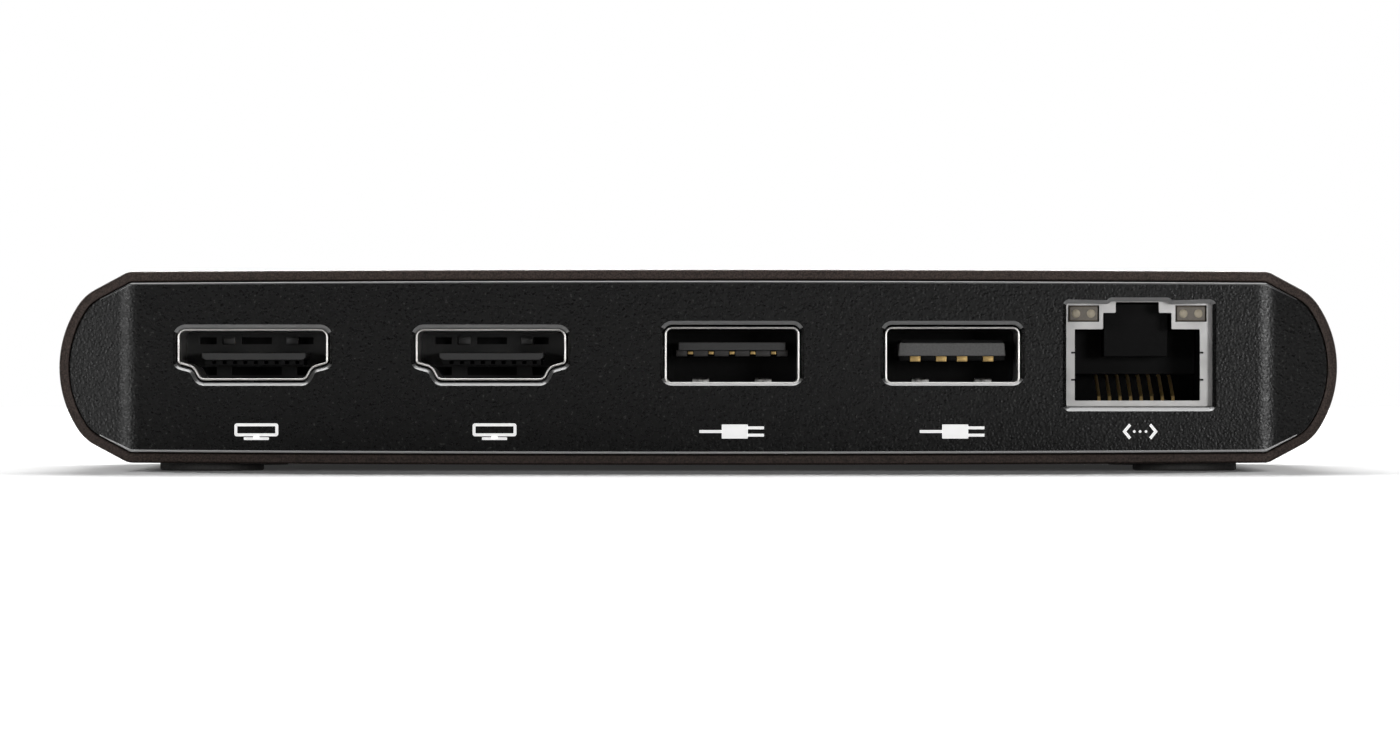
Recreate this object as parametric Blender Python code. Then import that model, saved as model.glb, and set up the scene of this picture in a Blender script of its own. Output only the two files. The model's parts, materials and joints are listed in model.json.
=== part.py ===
"""Compact laptop docking station, as an assembly of separate solids.

An aluminium sleeve holds a chassis that slides in from one end: a port cap at the front, a host cap at
the rear, and the circuit board screwed to both. Four screws under the rubber feet hold the chassis.

Frame: +X to the right seen from the port side, -Y towards the person plugging in, +Z up.
The origin is under the middle of the body, on the surface that the feet stand on.
"""

import math

import bmesh
import bpy
from mathutils import Vector

MM = 0.001

# Sleeve: an extruded tube with a crowned top and bottom, bevelled shoulders and bowed sides
BODY_WIDTH = 122.8 * MM
BODY_HEIGHT = 18.7 * MM
BODY_DEPTH = 66.0 * MM
WALL = 1.0 * MM
CROWN = 0.2 * MM
FLAT_HALF = 54.6 * MM
SHOULDER_X = 58.75 * MM
SHOULDER_Z = 7.0 * MM
EDGE_RADIUS = 1.5 * MM
SIDE_STEPS = 14
CROWN_STEPS = 6
SMOOTH_ANGLE = math.radians(35)

# Feet, and the height of the body's middle above the surface
FOOT_RADIUS = 5.0 * MM
FOOT_THICKNESS = 0.9 * MM
FOOT_PROUD = 0.6 * MM
FOOT_X = 47.0 * MM
FOOT_Y = 25.0 * MM
FOOT_STEPS = 32
MID_Z = FOOT_PROUD + BODY_HEIGHT / 2

# Caps: a face with its ends turned back, and a skirt that slides into the sleeve
CAP_GAP = 0.15 * MM
CAP_PROUD = 0.2 * MM
FACE_THICKNESS = 1.4 * MM
SKIRT_THICKNESS = 1.0 * MM
SKIRT_LENGTH = 6.5 * MM
BEND_X = 53.4 * MM
BEND_RADIUS = 4.5 * MM
BEND_ANGLE = math.radians(22)
CUTOUT_GAP = 0.08 * MM
CUTOUT_CHAMFER = 0.28 * MM
FACE_Y = -BODY_DEPTH / 2 - CAP_PROUD

# Circuit board
BOARD_THICKNESS = 1.2 * MM
BOARD_TOP = MID_Z - 1.95 * MM
BOARD_BOTTOM = BOARD_TOP - BOARD_THICKNESS
BOARD_HALF_WIDTH = 58.4 * MM
BOARD_END_HALF_WIDTH = 53.0 * MM
BOARD_HALF_DEPTH = 30.8 * MM
BOARD_SHOULDER_Y = 25.6 * MM
SEAT = 0.05 * MM
JOIN = 0.5 * MM
SLOT_MARGIN = 0.3 * MM

# Port places on the port cap: sideways from the middle, and up from the body's middle height
VIDEO_LEFT_X = -42.65 * MM
VIDEO_RIGHT_X = -19.85 * MM
VIDEO_Z = MID_Z + 1.21 * MM
FAST_DATA_X = 3.25 * MM
DATA_X = 24.35 * MM
DATA_Z = MID_Z + 1.1 * MM
NETWORK_X = 42.25 * MM
HOST_Z = MID_Z - 0.3 * MM

# Port shells
SHELL_WALL = 0.3 * MM
SHELL_RECESS = 0.2 * MM
MOUTH_Y = FACE_Y + SHELL_RECESS
FIT_GAP = 0.1 * MM
VIDEO_SHELL_LENGTH = 12.0 * MM
VIDEO_CAVITY_DEPTH = 10.4 * MM
VIDEO_TONGUE = (10.0 * MM, 0.8 * MM)
VIDEO_TONGUE_Z = -0.17 * MM
VIDEO_TONGUE_RECESS = 1.8 * MM
VIDEO_CONTACT = (0.42 * MM, 0.16 * MM)
VIDEO_CONTACT_PITCH = 1.0 * MM
VIDEO_CONTACT_ROWS = ((1, 10), (-1, 9))
DATA_OPENING = (12.5 * MM, 5.12 * MM)
DATA_SHELL_LENGTH = 13.6 * MM
DATA_CAVITY_DEPTH = 11.7 * MM
DATA_TONGUE_WIDTH = 10.4 * MM
DATA_TONGUE_LOW = -0.47 * MM
DATA_TONGUE_HIGH = 1.35 * MM
DATA_CONTACTS = [x * MM for x in (-3.5, -1.0, 1.0, 3.5)]
FAST_DATA_CONTACTS = [x * MM for x in (-4.0, -2.0, 0.0, 2.0, 4.0)]
HOST_OPENING = (8.34 * MM, 2.56 * MM)
HOST_SHELL_LENGTH = 8.0 * MM
HOST_CAVITY_DEPTH = 6.2 * MM
HOST_TONGUE = (6.7 * MM, 0.7 * MM)
HOST_TONGUE_RECESS = 1.0 * MM
TAIL_THICKNESS = 0.3 * MM

# Network jack: heights are from the body's middle height
JACK_WIDTH = 15.9 * MM
JACK_LOW = -3.95 * MM
JACK_HIGH = 6.95 * MM
JACK_FRONT = FACE_Y + FACE_THICKNESS + FIT_GAP
JACK_DEPTH = 14.4 * MM
JACK_SHEET = 0.3 * MM
JACK_OPENING_DEPTH = 11.4 * MM
JACK_LAMP = (2.8 * MM, 1.5 * MM)
JACK_LAMP_X = 5.45 * MM
JACK_LAMP_Z = 5.15 * MM
JACK_LAMP_LENGTH = 11.5 * MM
JACK_CONTACT_PITCH = 1.016 * MM
JACK_CONTACTS = 8

# Screws
CASE_SCREW_RADIUS = 1.0 * MM
CASE_SCREW_HEAD = 1.75 * MM
CASE_SCREW_LENGTH = 3.4 * MM
BOARD_SCREW_RADIUS = 0.8 * MM
BOARD_SCREW_HEAD = 1.6 * MM
BOARD_SCREW_LENGTH = 4.2 * MM
SCREW_STEPS = 16
BOARD_SCREW_FRONT_X = (-31.25 * MM, 13.8 * MM)
BOARD_SCREW_REAR_X = (-30.0 * MM, 30.0 * MM)
BOARD_SCREW_Y = 27.6 * MM
POST_RADIUS = 2.2 * MM
BOSS_HALF = 3.5 * MM

# Colour, roughness and metallic value of each material
MATERIALS = {
    "anodised_aluminium": ((0.045, 0.038, 0.034), 0.45, 0.9),
    "cap_plastic": ((0.020, 0.020, 0.021), 0.50, 0.0),
    "port_steel": ((0.62, 0.62, 0.60), 0.28, 1.0),
    "port_plastic": ((0.014, 0.014, 0.015), 0.45, 0.0),
    "contact_gold": ((0.72, 0.50, 0.20), 0.30, 1.0),
    "lamp_resin": ((0.40, 0.37, 0.30), 0.25, 0.0),
    "foot_rubber": ((0.016, 0.016, 0.016), 0.80, 0.0),
    "screw_steel": ((0.10, 0.10, 0.10), 0.35, 1.0),
    "board_laminate": ((0.010, 0.045, 0.030), 0.40, 0.0),
    "chip_epoxy": ((0.018, 0.018, 0.020), 0.55, 0.0),
    "bare_aluminium": ((0.55, 0.56, 0.57), 0.35, 1.0),
    "thermal_silicone": ((0.30, 0.32, 0.36), 0.70, 0.0),
}


def clear_scene():
    for obj in list(bpy.data.objects):
        bpy.data.objects.remove(obj)


def material(name):
    found = bpy.data.materials.get(name)
    if found:
        return found
    colour, roughness, metallic = MATERIALS[name]
    made = bpy.data.materials.new(name)
    made.use_nodes = True
    shader = made.node_tree.nodes["Principled BSDF"]
    shader.inputs["Base Color"].default_value = (*colour, 1.0)
    shader.inputs["Roughness"].default_value = roughness
    shader.inputs["Metallic"].default_value = metallic
    return made


# Outlines: lists of (across, up) points that run counter-clockwise


def rounded(corners, step=math.radians(20)):
    """The outline through corners of (across, up, radius), with an arc at each corner that has a radius."""
    points = []
    for i, (across, up, radius) in enumerate(corners):
        corner = Vector((across, up))
        before = (Vector(corners[i - 1][:2]) - corner).normalized()
        after = (Vector(corners[(i + 1) % len(corners)][:2]) - corner).normalized()
        turn = math.pi - before.angle(after)
        if radius <= 0:
            points.append((across, up))
            continue
        start = corner + before * radius * math.tan(turn / 2)
        centre = corner + (before + after).normalized() * radius / math.cos(turn / 2)
        first = start - centre
        direction = 1 if before.x * after.y - before.y * after.x < 0 else -1
        steps = max(1, math.ceil(turn / step))
        for n in range(steps + 1):
            angle = direction * turn * n / steps
            turned = Vector((
                first.x * math.cos(angle) - first.y * math.sin(angle),
                first.x * math.sin(angle) + first.y * math.cos(angle),
            ))
            points.append(tuple(centre + turned))
    return points


def grown(points, distance):
    """The outline with every side moved out by distance, or in where distance is negative."""
    moved = []
    for i, point in enumerate(points):
        here = Vector(point[:2])
        incoming = (here - Vector(points[i - 1][:2])).normalized()
        outgoing = (Vector(points[(i + 1) % len(points)][:2]) - here).normalized()
        normal_in = Vector((incoming.y, -incoming.x))
        normal_out = Vector((outgoing.y, -outgoing.x))
        shift = (normal_in + normal_out) * distance / (1 + normal_in.dot(normal_out))
        moved.append((*(here + shift), *point[2:]))
    return moved


def placed(points, across, up):
    return [(x + across, z + up) for x, z in points]


def rectangle(width, height, radius=0.0):
    x, z = width / 2, height / 2
    return rounded([(x, z, radius), (-x, z, radius), (-x, -z, radius), (x, -z, radius)])


def circle(radius, steps):
    turns = [2 * math.pi * n / steps for n in range(steps)]
    return [(radius * math.cos(a), radius * math.sin(a)) for a in turns]


def body_outline(inset=0.0):
    """The sleeve's cross-section about its own middle, moved in by inset."""
    half_width, half_height = BODY_WIDTH / 2, BODY_HEIGHT / 2
    bow = half_width - SHOULDER_X
    side_radius = (bow**2 + SHOULDER_Z**2) / (2 * bow)
    span = math.asin(SHOULDER_Z / side_radius)
    half = []
    for n in range(SIDE_STEPS + 1):
        angle = span * (2 * n / SIDE_STEPS - 1)
        at_shoulder = n in (0, SIDE_STEPS)
        x = half_width - side_radius * (1 - math.cos(angle))
        half.append((x, side_radius * math.sin(angle), EDGE_RADIUS if at_shoulder else 0.0))
    for n in range(CROWN_STEPS + 1):
        share = 1 - 2 * n / CROWN_STEPS
        at_end = n in (0, CROWN_STEPS)
        half.append((FLAT_HALF * share, half_height - CROWN * share**2, EDGE_RADIUS if at_end else 0.0))
    corners = half + [(-x, -z, radius) for x, z, radius in half]
    softened = [(x, z, max(r - inset, EDGE_RADIUS / 3) if r else 0.0) for x, z, r in grown(corners, -inset)]
    return placed(rounded(softened), 0, MID_Z)


def video_opening():
    """The mouth of a video port: a slab with its lower corners stepped in."""
    right = [(4.95, -2.27, 0.5), (5.55, -1.1, 1.2), (7.0, -0.7, 0.25), (7.0, 2.27, 0.6)]
    left = [(-x, z, radius) for x, z, radius in reversed(right)]
    return rounded([(x * MM, z * MM, radius * MM) for x, z, radius in right + left])


def jack_opening():
    """The mouth of the network jack: a wide cavity, and two narrower steps above it for the latch."""
    right = [(6.0, -3.15), (6.0, 3.6), (3.25, 3.6), (3.25, 5.2), (2.05, 5.2), (2.05, 6.3)]
    left = [(-x, z) for x, z in reversed(right)]
    return [(x * MM, z * MM) for x, z in right + left]


def jack_cutout():
    """The hole in the cap for the network jack: it shows the frame of the shield and its lamps."""
    right = [(7.0, -3.85, 0.3), (7.0, 6.15, 0.3), (3.0, 6.15, 0.6), (2.6, 6.75, 0.3)]
    left = [(-x, z, radius) for x, z, radius in reversed(right)]
    return rounded([(x * MM, z * MM, radius * MM) for x, z, radius in right + left])


# Solids


def mesh_object(name, mesh_data, material_name):
    """An object with its origin at the middle of its shape."""
    bmesh.ops.recalc_face_normals(mesh_data, faces=mesh_data.faces)
    spans = [[vert.co[axis] for vert in mesh_data.verts] for axis in range(3)]
    middle = Vector([(min(span) + max(span)) / 2 for span in spans])
    bmesh.ops.translate(mesh_data, vec=-middle, verts=mesh_data.verts)
    mesh = bpy.data.meshes.new(name)
    mesh_data.to_mesh(mesh)
    mesh_data.free()
    mesh.materials.append(material(material_name))
    obj = bpy.data.objects.new(name, mesh)
    obj.location = middle
    bpy.context.scene.collection.objects.link(obj)
    return obj


def loft(name, sections, material_name):
    """A closed solid through rings of points; every ring has the same number of points."""
    mesh_data = bmesh.new()
    rings = [[mesh_data.verts.new(point) for point in ring] for ring in sections]
    count = len(rings[0])
    for near, far in zip(rings, rings[1:]):
        for i in range(count):
            after = (i + 1) % count
            mesh_data.faces.new((near[i], near[after], far[after], far[i]))
    mesh_data.faces.new(rings[0])
    mesh_data.faces.new(rings[-1])
    return mesh_object(name, mesh_data, material_name)


def along_y(name, sections, material_name):
    """A solid through outlines in the XZ plane, each with its own Y: [(outline, y), ...]."""
    return loft(name, [[(x, y, z) for x, z in outline] for outline, y in sections], material_name)


def along_z(name, sections, material_name):
    """A solid through outlines in the XY plane, each with its own Z: [(outline, z), ...]."""
    return loft(name, [[(x, y, z) for x, y in outline] for outline, z in sections], material_name)


def along_x(name, outline, x_low, x_high, material_name):
    """A solid of one outline in the YZ plane, from x_low to x_high."""
    return loft(name, [[(x, y, z) for y, z in outline] for x in (x_low, x_high)], material_name)


def block(name, low, high, material_name, bevel=0.0):
    (x0, y0, z0), (x1, y1, z1) = low, high
    base = [(x0, y0), (x1, y0), (x1, y1), (x0, y1)]
    obj = along_z(name, [(base, z0), (base, z1)], material_name)
    if bevel:
        modifier = obj.modifiers.new("Bevel", "BEVEL")
        modifier.width = bevel
        modifier.segments = 1
    return obj


def combine(target, tool, operation):
    """A Boolean of target with tool, which becomes a hidden helper."""
    tool.hide_render = True
    tool.display_type = "WIRE"
    modifier = target.modifiers.new(operation.title(), "BOOLEAN")
    modifier.operation = operation
    modifier.object = tool
    modifier.solver = "EXACT"


def cut(target, *tools):
    for tool in tools:
        combine(target, tool, "DIFFERENCE")


def fuse(target, *tools):
    for tool in tools:
        combine(target, tool, "UNION")


def round_tool(name, x, y, rings, material_name, steps=SCREW_STEPS):
    """A turned solid about a vertical axis: rings of (radius, z)."""
    sections = [(placed(circle(radius, steps), x, y), z) for radius, z in rings]
    return along_z(name, sections, material_name)


# Enclosure


def foot_places():
    for side, x in (("left", -FOOT_X), ("right", FOOT_X)):
        for end, y in (("front", -FOOT_Y), ("rear", FOOT_Y)):
            yield f"{end}_{side}", x, y


def make_sleeve():
    """The extruded tube, whose ends are cut to the plan of the caps' faces, a little behind them."""
    outside, inside = body_outline(), body_outline(WALL)
    past = BODY_DEPTH / 2 + 1 * MM
    sleeve = along_y("housing_sleeve", [(outside, -past), (outside, past)], "anodised_aluminium")
    past += 1 * MM
    cut(sleeve, along_y("sleeve_bore", [(inside, -past), (inside, past)], "anodised_aluminium"))
    for name, way in (("front", -1), ("rear", 1)):
        plan = cap_plan(CAP_PROUD, -past, way)
        end_plan = along_z(f"sleeve_{name}_plan", [(plan, -1 * MM), (plan, MID_Z * 3)], "anodised_aluminium")
        combine(sleeve, end_plan, "INTERSECT")
    rail_half = 18 * MM
    rails = [("lower", BOARD_BOTTOM - 1.1 * MM, 60.0 * MM), ("upper", BOARD_TOP + 0.15 * MM, 60.8 * MM)]
    for side, way in (("left", -1), ("right", 1)):
        for level, low, reach in rails:
            x0, x1 = sorted((way * 57.2 * MM, way * reach))
            corners = (x0, -rail_half, low), (x1, rail_half, low + 0.95 * MM)
            fuse(sleeve, block(f"rail_{level}_{side}", *corners, "anodised_aluminium"))
    for place, x, y in foot_places():
        seat_top = FOOT_THICKNESS + SEAT
        rings = [
            (FOOT_RADIUS + CUTOUT_GAP, -1 * MM),
            (FOOT_RADIUS + CUTOUT_GAP, seat_top),
            (CASE_SCREW_HEAD + 0.1 * MM, seat_top),
            (CASE_SCREW_RADIUS + 0.15 * MM, seat_top + 0.85 * MM),
            (CASE_SCREW_RADIUS + 0.15 * MM, FOOT_PROUD + 2 * WALL),
        ]
        cut(sleeve, round_tool(f"foot_seat_{place}", x, y, rings, "anodised_aluminium", FOOT_STEPS))
    return sleeve


def make_feet():
    for place, x, y in foot_places():
        edge = 0.15 * MM
        rings = [(FOOT_RADIUS - edge, 0), (FOOT_RADIUS, edge), (FOOT_RADIUS, FOOT_THICKNESS)]
        round_tool(f"foot_{place}", x, y, rings, "foot_rubber", FOOT_STEPS)


def cap_plan(depth_in, back, way):
    """The plan of a cap's face: flat across the middle, its ends turned back."""
    reach = BODY_WIDTH / 2 + 2 * MM
    bend = BEND_X + BEND_RADIUS * math.tan(BEND_ANGLE / 2) - depth_in * math.tan(BEND_ANGLE / 2)
    face = abs(FACE_Y) - depth_in
    tip = face - (reach - bend) * math.tan(BEND_ANGLE)
    right = [(reach, back, 0), (reach, tip, 0), (bend, face, BEND_RADIUS)]
    corners = right + [(-x, y, radius) for x, y, radius in reversed(right)]
    return [(x, way * y) for x, y in rounded(corners, math.radians(6))]


def make_cap(name, way):
    """A cap: way is -1 for the port cap at the front and 1 for the host cap at the rear."""
    far = abs(FACE_Y) + 2 * MM
    back = abs(FACE_Y) - SKIRT_LENGTH
    tall = (0, MID_Z * 3)
    outline = body_outline(WALL + CAP_GAP)
    hollow = body_outline(WALL + CAP_GAP + SKIRT_THICKNESS)
    cap = along_y(name, [(outline, way * back), (outline, way * far)], "cap_plastic")
    face_plan = [(cap_plan(0, back - 1 * MM, way), z) for z in tall]
    combine(cap, along_z(f"{name}_face_plan", face_plan, "cap_plastic"), "INTERSECT")
    core = [(hollow, way * (back - 1 * MM)), (hollow, way * far)]
    inside = along_y(f"{name}_inside", core, "cap_plastic")
    inside_plan = [(cap_plan(FACE_THICKNESS, back - 2 * MM, way), z) for z in tall]
    combine(inside, along_z(f"{name}_inside_plan", inside_plan, "cap_plastic"), "INTERSECT")
    cut(cap, inside)
    return cap


def cap_floor():
    """The height of the skirt's lower surface inside the cap, a little under it for joins."""
    return FOOT_PROUD + WALL + CAP_GAP + CROWN + SKIRT_THICKNESS / 2


def add_case_bosses(cap, way):
    """The blocks over the feet that the case screws go into. They grow out of the skirt's floor."""
    back = abs(FACE_Y) - 2 * MM
    for side in (-1, 1):
        x0, x1 = side * FOOT_X - BOSS_HALF, side * FOOT_X + BOSS_HALF
        y0, y1 = sorted((way * back, way * (FOOT_Y - BOSS_HALF)))
        name = f"{cap.name}_boss_{side}"
        top = BOARD_BOTTOM - 1.0 * MM
        fuse(cap, block(name, (x0, y0, cap_floor()), (x1, y1, top), "cap_plastic"))
        radius = CASE_SCREW_RADIUS + 0.06 * MM
        hole = [(radius, 0), (radius, FOOT_THICKNESS + 4.2 * MM)]
        name = f"{cap.name}_case_hole_{side}"
        cut(cap, round_tool(name, side * FOOT_X, way * FOOT_Y, hole, "cap_plastic"))


def add_board_posts(cap, way, places):
    """Posts under the circuit board, each with a blind hole for a board screw."""
    for n, x in enumerate(places):
        y = way * BOARD_SCREW_Y
        top = BOARD_BOTTOM - SEAT
        post = [(POST_RADIUS, cap_floor()), (POST_RADIUS, top)]
        fuse(cap, round_tool(f"{cap.name}_post_{n}", x, y, post, "cap_plastic"))
        radius = BOARD_SCREW_RADIUS + 0.06 * MM
        hole = [(radius, top - 3.6 * MM), (radius, top + 1 * MM)]
        cut(cap, round_tool(f"{cap.name}_post_hole_{n}", x, y, hole, "cap_plastic"))


def cut_port(cap, name, outline, way=-1):
    """A hole through the cap's face with a chamfer round its outer edge."""
    face = abs(FACE_Y)
    over = 0.05 * MM
    wide = grown(outline, CUTOUT_CHAMFER + over)
    rings = [
        (wide, way * (face + 1 * MM)),
        (wide, way * (face + over)),
        (outline, way * (face - CUTOUT_CHAMFER)),
        (outline, way * (face - 4 * MM)),
    ]
    cut(cap, along_y(f"{name}_cutout", rings, "cap_plastic"))


def make_front_cap():
    cap = make_cap("port_cap", -1)
    add_case_bosses(cap, -1)
    add_board_posts(cap, -1, BOARD_SCREW_FRONT_X)
    through = SHELL_WALL + CUTOUT_GAP
    for name, x in (("video_left", VIDEO_LEFT_X), ("video_right", VIDEO_RIGHT_X)):
        cut_port(cap, name, placed(grown(video_opening(), through), x, VIDEO_Z))
    for name, x in (("fast_data", FAST_DATA_X), ("data", DATA_X)):
        mouth = rectangle(*DATA_OPENING, 0.5 * MM)
        cut_port(cap, name, placed(grown(mouth, through), x, DATA_Z))
    cut_port(cap, "network", placed(jack_cutout(), NETWORK_X, MID_Z))


def make_rear_cap():
    cap = make_cap("host_cap", 1)
    add_case_bosses(cap, 1)
    add_board_posts(cap, 1, BOARD_SCREW_REAR_X)
    mouth = grown(rectangle(*HOST_OPENING, 1.2 * MM), SHELL_WALL + CUTOUT_GAP)
    cut_port(cap, "host", placed(mouth, 0, HOST_Z), 1)


def make_case_screws():
    for place, x, y in foot_places():
        head_z = FOOT_THICKNESS + 2 * SEAT
        rings = [
            (CASE_SCREW_HEAD, head_z),
            (CASE_SCREW_RADIUS, head_z + 0.7 * MM),
            (CASE_SCREW_RADIUS, head_z + CASE_SCREW_LENGTH),
        ]
        screw = round_tool(f"case_screw_{place}", x, y, rings, "screw_steel")
        cut(screw, cross_recess(f"case_drive_{place}", x, y, head_z - 0.2 * MM, head_z + 0.4 * MM))


def cross_recess(name, x, y, z_low, z_high):
    """A cross-shaped driver recess, 2 mm across."""
    long_half, short_half = 1.0 * MM, 0.22 * MM
    corners = [(long_half, -short_half), (long_half, short_half), (short_half, short_half)]
    outline = [(cx, cy) for cx, cy in corners]
    for turn in range(1, 4):
        for cx, cy in corners:
            quarter = [(cx, cy), (-cy, cx), (-cx, -cy), (cy, -cx)][turn]
            outline.append(quarter)
    return along_z(name, [(placed(outline, x, y), z_low), (placed(outline, x, y), z_high)], "screw_steel")


# Circuit board and what it carries


def board_screw_places():
    for way, end, places in ((-1, "front", BOARD_SCREW_FRONT_X), (1, "rear", BOARD_SCREW_REAR_X)):
        for side, x in zip(("left", "right"), places):
            yield f"{end}_{side}", x, way * BOARD_SCREW_Y


def make_board():
    wide, narrow = BOARD_HALF_WIDTH, BOARD_END_HALF_WIDTH
    end, shoulder = BOARD_HALF_DEPTH, BOARD_SHOULDER_Y
    quarter = [(wide, shoulder), (narrow, shoulder), (narrow, end)]
    outline = quarter + [(-x, y) for x, y in reversed(quarter)]
    outline += [(-x, -y) for x, y in quarter] + [(x, -y) for x, y in reversed(quarter)]
    board = along_z("main_circuit_board", [(outline, BOARD_BOTTOM), (outline, BOARD_TOP)], "board_laminate")
    half = JACK_WIDTH / 2 + 0.2 * MM
    low = (NETWORK_X - half, -BOARD_HALF_DEPTH - 2 * MM, BOARD_BOTTOM - 1 * MM)
    high = (NETWORK_X + half, JACK_FRONT + JACK_DEPTH + 0.2 * MM, BOARD_TOP + 1 * MM)
    cut(board, block("jack_notch", low, high, "board_laminate"))
    for place, x, y in board_screw_places():
        radius = BOARD_SCREW_RADIUS + 0.2 * MM
        hole = [(radius, BOARD_BOTTOM - 1 * MM), (radius, BOARD_TOP + 1 * MM)]
        cut(board, round_tool(f"board_hole_{place}", x, y, hole, "board_laminate"))
        rings = [
            (BOARD_SCREW_RADIUS, BOARD_TOP + SEAT - BOARD_SCREW_LENGTH),
            (BOARD_SCREW_RADIUS, BOARD_TOP + SEAT),
            (BOARD_SCREW_HEAD, BOARD_TOP + SEAT),
            (BOARD_SCREW_HEAD, BOARD_TOP + SEAT + 0.7 * MM),
            (BOARD_SCREW_HEAD - 0.3 * MM, BOARD_TOP + SEAT + 1.0 * MM),
        ]
        screw = round_tool(f"board_screw_{place}", x, y, rings, "screw_steel")
        drive_low = BOARD_TOP + SEAT + 0.5 * MM
        cut(screw, cross_recess(f"board_drive_{place}", x, y, drive_low, drive_low + 1 * MM))


def port_shell(name, opening, x, z, length, way=-1):
    """A drawn steel tube round a port's mouth, on four feet that stand on the board."""
    mouth = way * abs(MOUTH_Y)
    end = mouth - way * length
    outer = placed(grown(opening, SHELL_WALL), x, z)
    inner = placed(opening, x, z)
    shell = along_y(f"{name}_shell", [(outer, mouth), (outer, end)], "port_steel")
    bore = [(inner, mouth + way * 1 * MM), (inner, end - way * 1 * MM)]
    cut(shell, along_y(f"{name}_bore", bore, "port_steel"))
    half = max(px for px, _ in opening) + SHELL_WALL
    for side in (-1, 1):
        for n, setback in enumerate((3.2 * MM, length - 1.8 * MM)):
            x0, x1 = sorted((x + side * (half - 0.2 * MM), x + side * (half + 0.25 * MM)))
            y0, y1 = sorted((mouth - way * setback, mouth - way * (setback + 1.4 * MM)))
            low, high = (x0, y0, BOARD_TOP + SEAT), (x1, y1, z + 0.6 * MM)
            fuse(shell, block(f"{name}_foot_{side}_{n}", low, high, "port_steel"))
    return shell


def comb(name, blades, bar, material_name="contact_gold"):
    """A set of contacts as one solid: blades, each a (low, high) pair of corners, joined by a bar."""
    body = block(name, *bar, material_name)
    for n, (low, high) in enumerate(blades):
        fuse(body, block(f"{name}_blade_{n}", low, high, material_name))
    return body


def make_video_port(name, x):
    opening = video_opening()
    port_shell(name, opening, x, VIDEO_Z, VIDEO_SHELL_LENGTH)
    width, thickness = VIDEO_TONGUE
    tongue_z = VIDEO_Z + VIDEO_TONGUE_Z
    wall = MOUTH_Y + VIDEO_CAVITY_DEPTH
    shell_end = MOUTH_Y + VIDEO_SHELL_LENGTH
    back = shell_end + 1.2 * MM
    core = placed(grown(opening, -FIT_GAP), x, VIDEO_Z)
    insert = along_y(f"{name}_insert", [(core, wall), (core, back)], "port_plastic")
    tongue_low = (x - width / 2, MOUTH_Y + VIDEO_TONGUE_RECESS, tongue_z - thickness / 2)
    tongue_high = (x + width / 2, wall + JOIN, tongue_z + thickness / 2)
    fuse(insert, block(f"{name}_tongue", tongue_low, tongue_high, "port_plastic", 0.12 * MM))
    heel_low = (x - 0.46 * width, shell_end + 0.2 * MM, BOARD_TOP + SEAT)
    heel_high = (x + 0.46 * width, shell_end + 1.0 * MM, VIDEO_Z)
    fuse(insert, block(f"{name}_heel", heel_low, heel_high, "port_plastic"))
    blades = []
    blade_width, sheet = VIDEO_CONTACT
    for row, count in VIDEO_CONTACT_ROWS:
        near = tongue_z + row * (thickness / 2 + SEAT)
        z0, z1 = sorted((near, near + row * sheet))
        for n in range(count):
            centre = x + (n - (count - 1) / 2) * VIDEO_CONTACT_PITCH
            low = (centre - blade_width / 2, tongue_low[1] + JOIN, z0)
            high = (centre + blade_width / 2, back + JOIN, z1)
            blades.append((low, high))
        slot_low = (x - width / 2 - SLOT_MARGIN, wall - JOIN, z0 - SEAT)
        slot_high = (x + width / 2 + SLOT_MARGIN, back + JOIN, z1 + SEAT)
        cut(insert, block(f"{name}_slot_{row}", slot_low, slot_high, "port_plastic"))
    bar_low = (x - 0.49 * width, back + 0.3 * MM, BOARD_TOP + SEAT)
    bar_high = (x + 0.49 * width, back + 0.3 * MM + TAIL_THICKNESS, tongue_z + thickness)
    comb(f"{name}_contacts", blades, (bar_low, bar_high))


def make_data_port(name, x, contact_places, recess, blade):
    """A data port: recess is how far its tongue sits inside the mouth, blade a contact's (width, height)."""
    opening = rectangle(*DATA_OPENING, 0.5 * MM)
    port_shell(name, opening, x, DATA_Z, DATA_SHELL_LENGTH)
    wall = MOUTH_Y + DATA_CAVITY_DEPTH
    shell_end = MOUTH_Y + DATA_SHELL_LENGTH
    half = DATA_TONGUE_WIDTH / 2
    core = placed(grown(opening, -FIT_GAP), x, DATA_Z)
    insert = along_y(f"{name}_insert", [(core, wall), (core, shell_end - 0.3 * MM)], "port_plastic")
    tongue_low = (x - half, MOUTH_Y + recess, DATA_Z + DATA_TONGUE_LOW)
    tongue_high = (x + half, wall + JOIN, DATA_Z + DATA_TONGUE_HIGH)
    fuse(insert, block(f"{name}_tongue", tongue_low, tongue_high, "port_plastic", 0.1 * MM))
    blades = []
    blade_width, blade_height = blade
    z0 = DATA_Z + DATA_TONGUE_LOW
    z1 = z0 + blade_height
    for n, offset in enumerate(contact_places):
        low = (x + offset - blade_width / 2, MOUTH_Y + recess + 0.2 * MM, z0)
        high = (x + offset + blade_width / 2, shell_end + JOIN, z1)
        blades.append((low, high))
        groove_low = (low[0] - SEAT, MOUTH_Y + recess - 1 * MM, z0 - 0.3 * MM)
        groove_high = (high[0] + SEAT, shell_end + 1 * MM, z1 + SEAT)
        cut(insert, block(f"{name}_groove_{n}", groove_low, groove_high, "port_plastic"))
    bar_low = (x - half, shell_end + 0.3 * MM, BOARD_TOP + SEAT)
    bar_high = (x + half, shell_end + 0.3 * MM + TAIL_THICKNESS, z1)
    comb(f"{name}_contacts", blades, (bar_low, bar_high))


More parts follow.
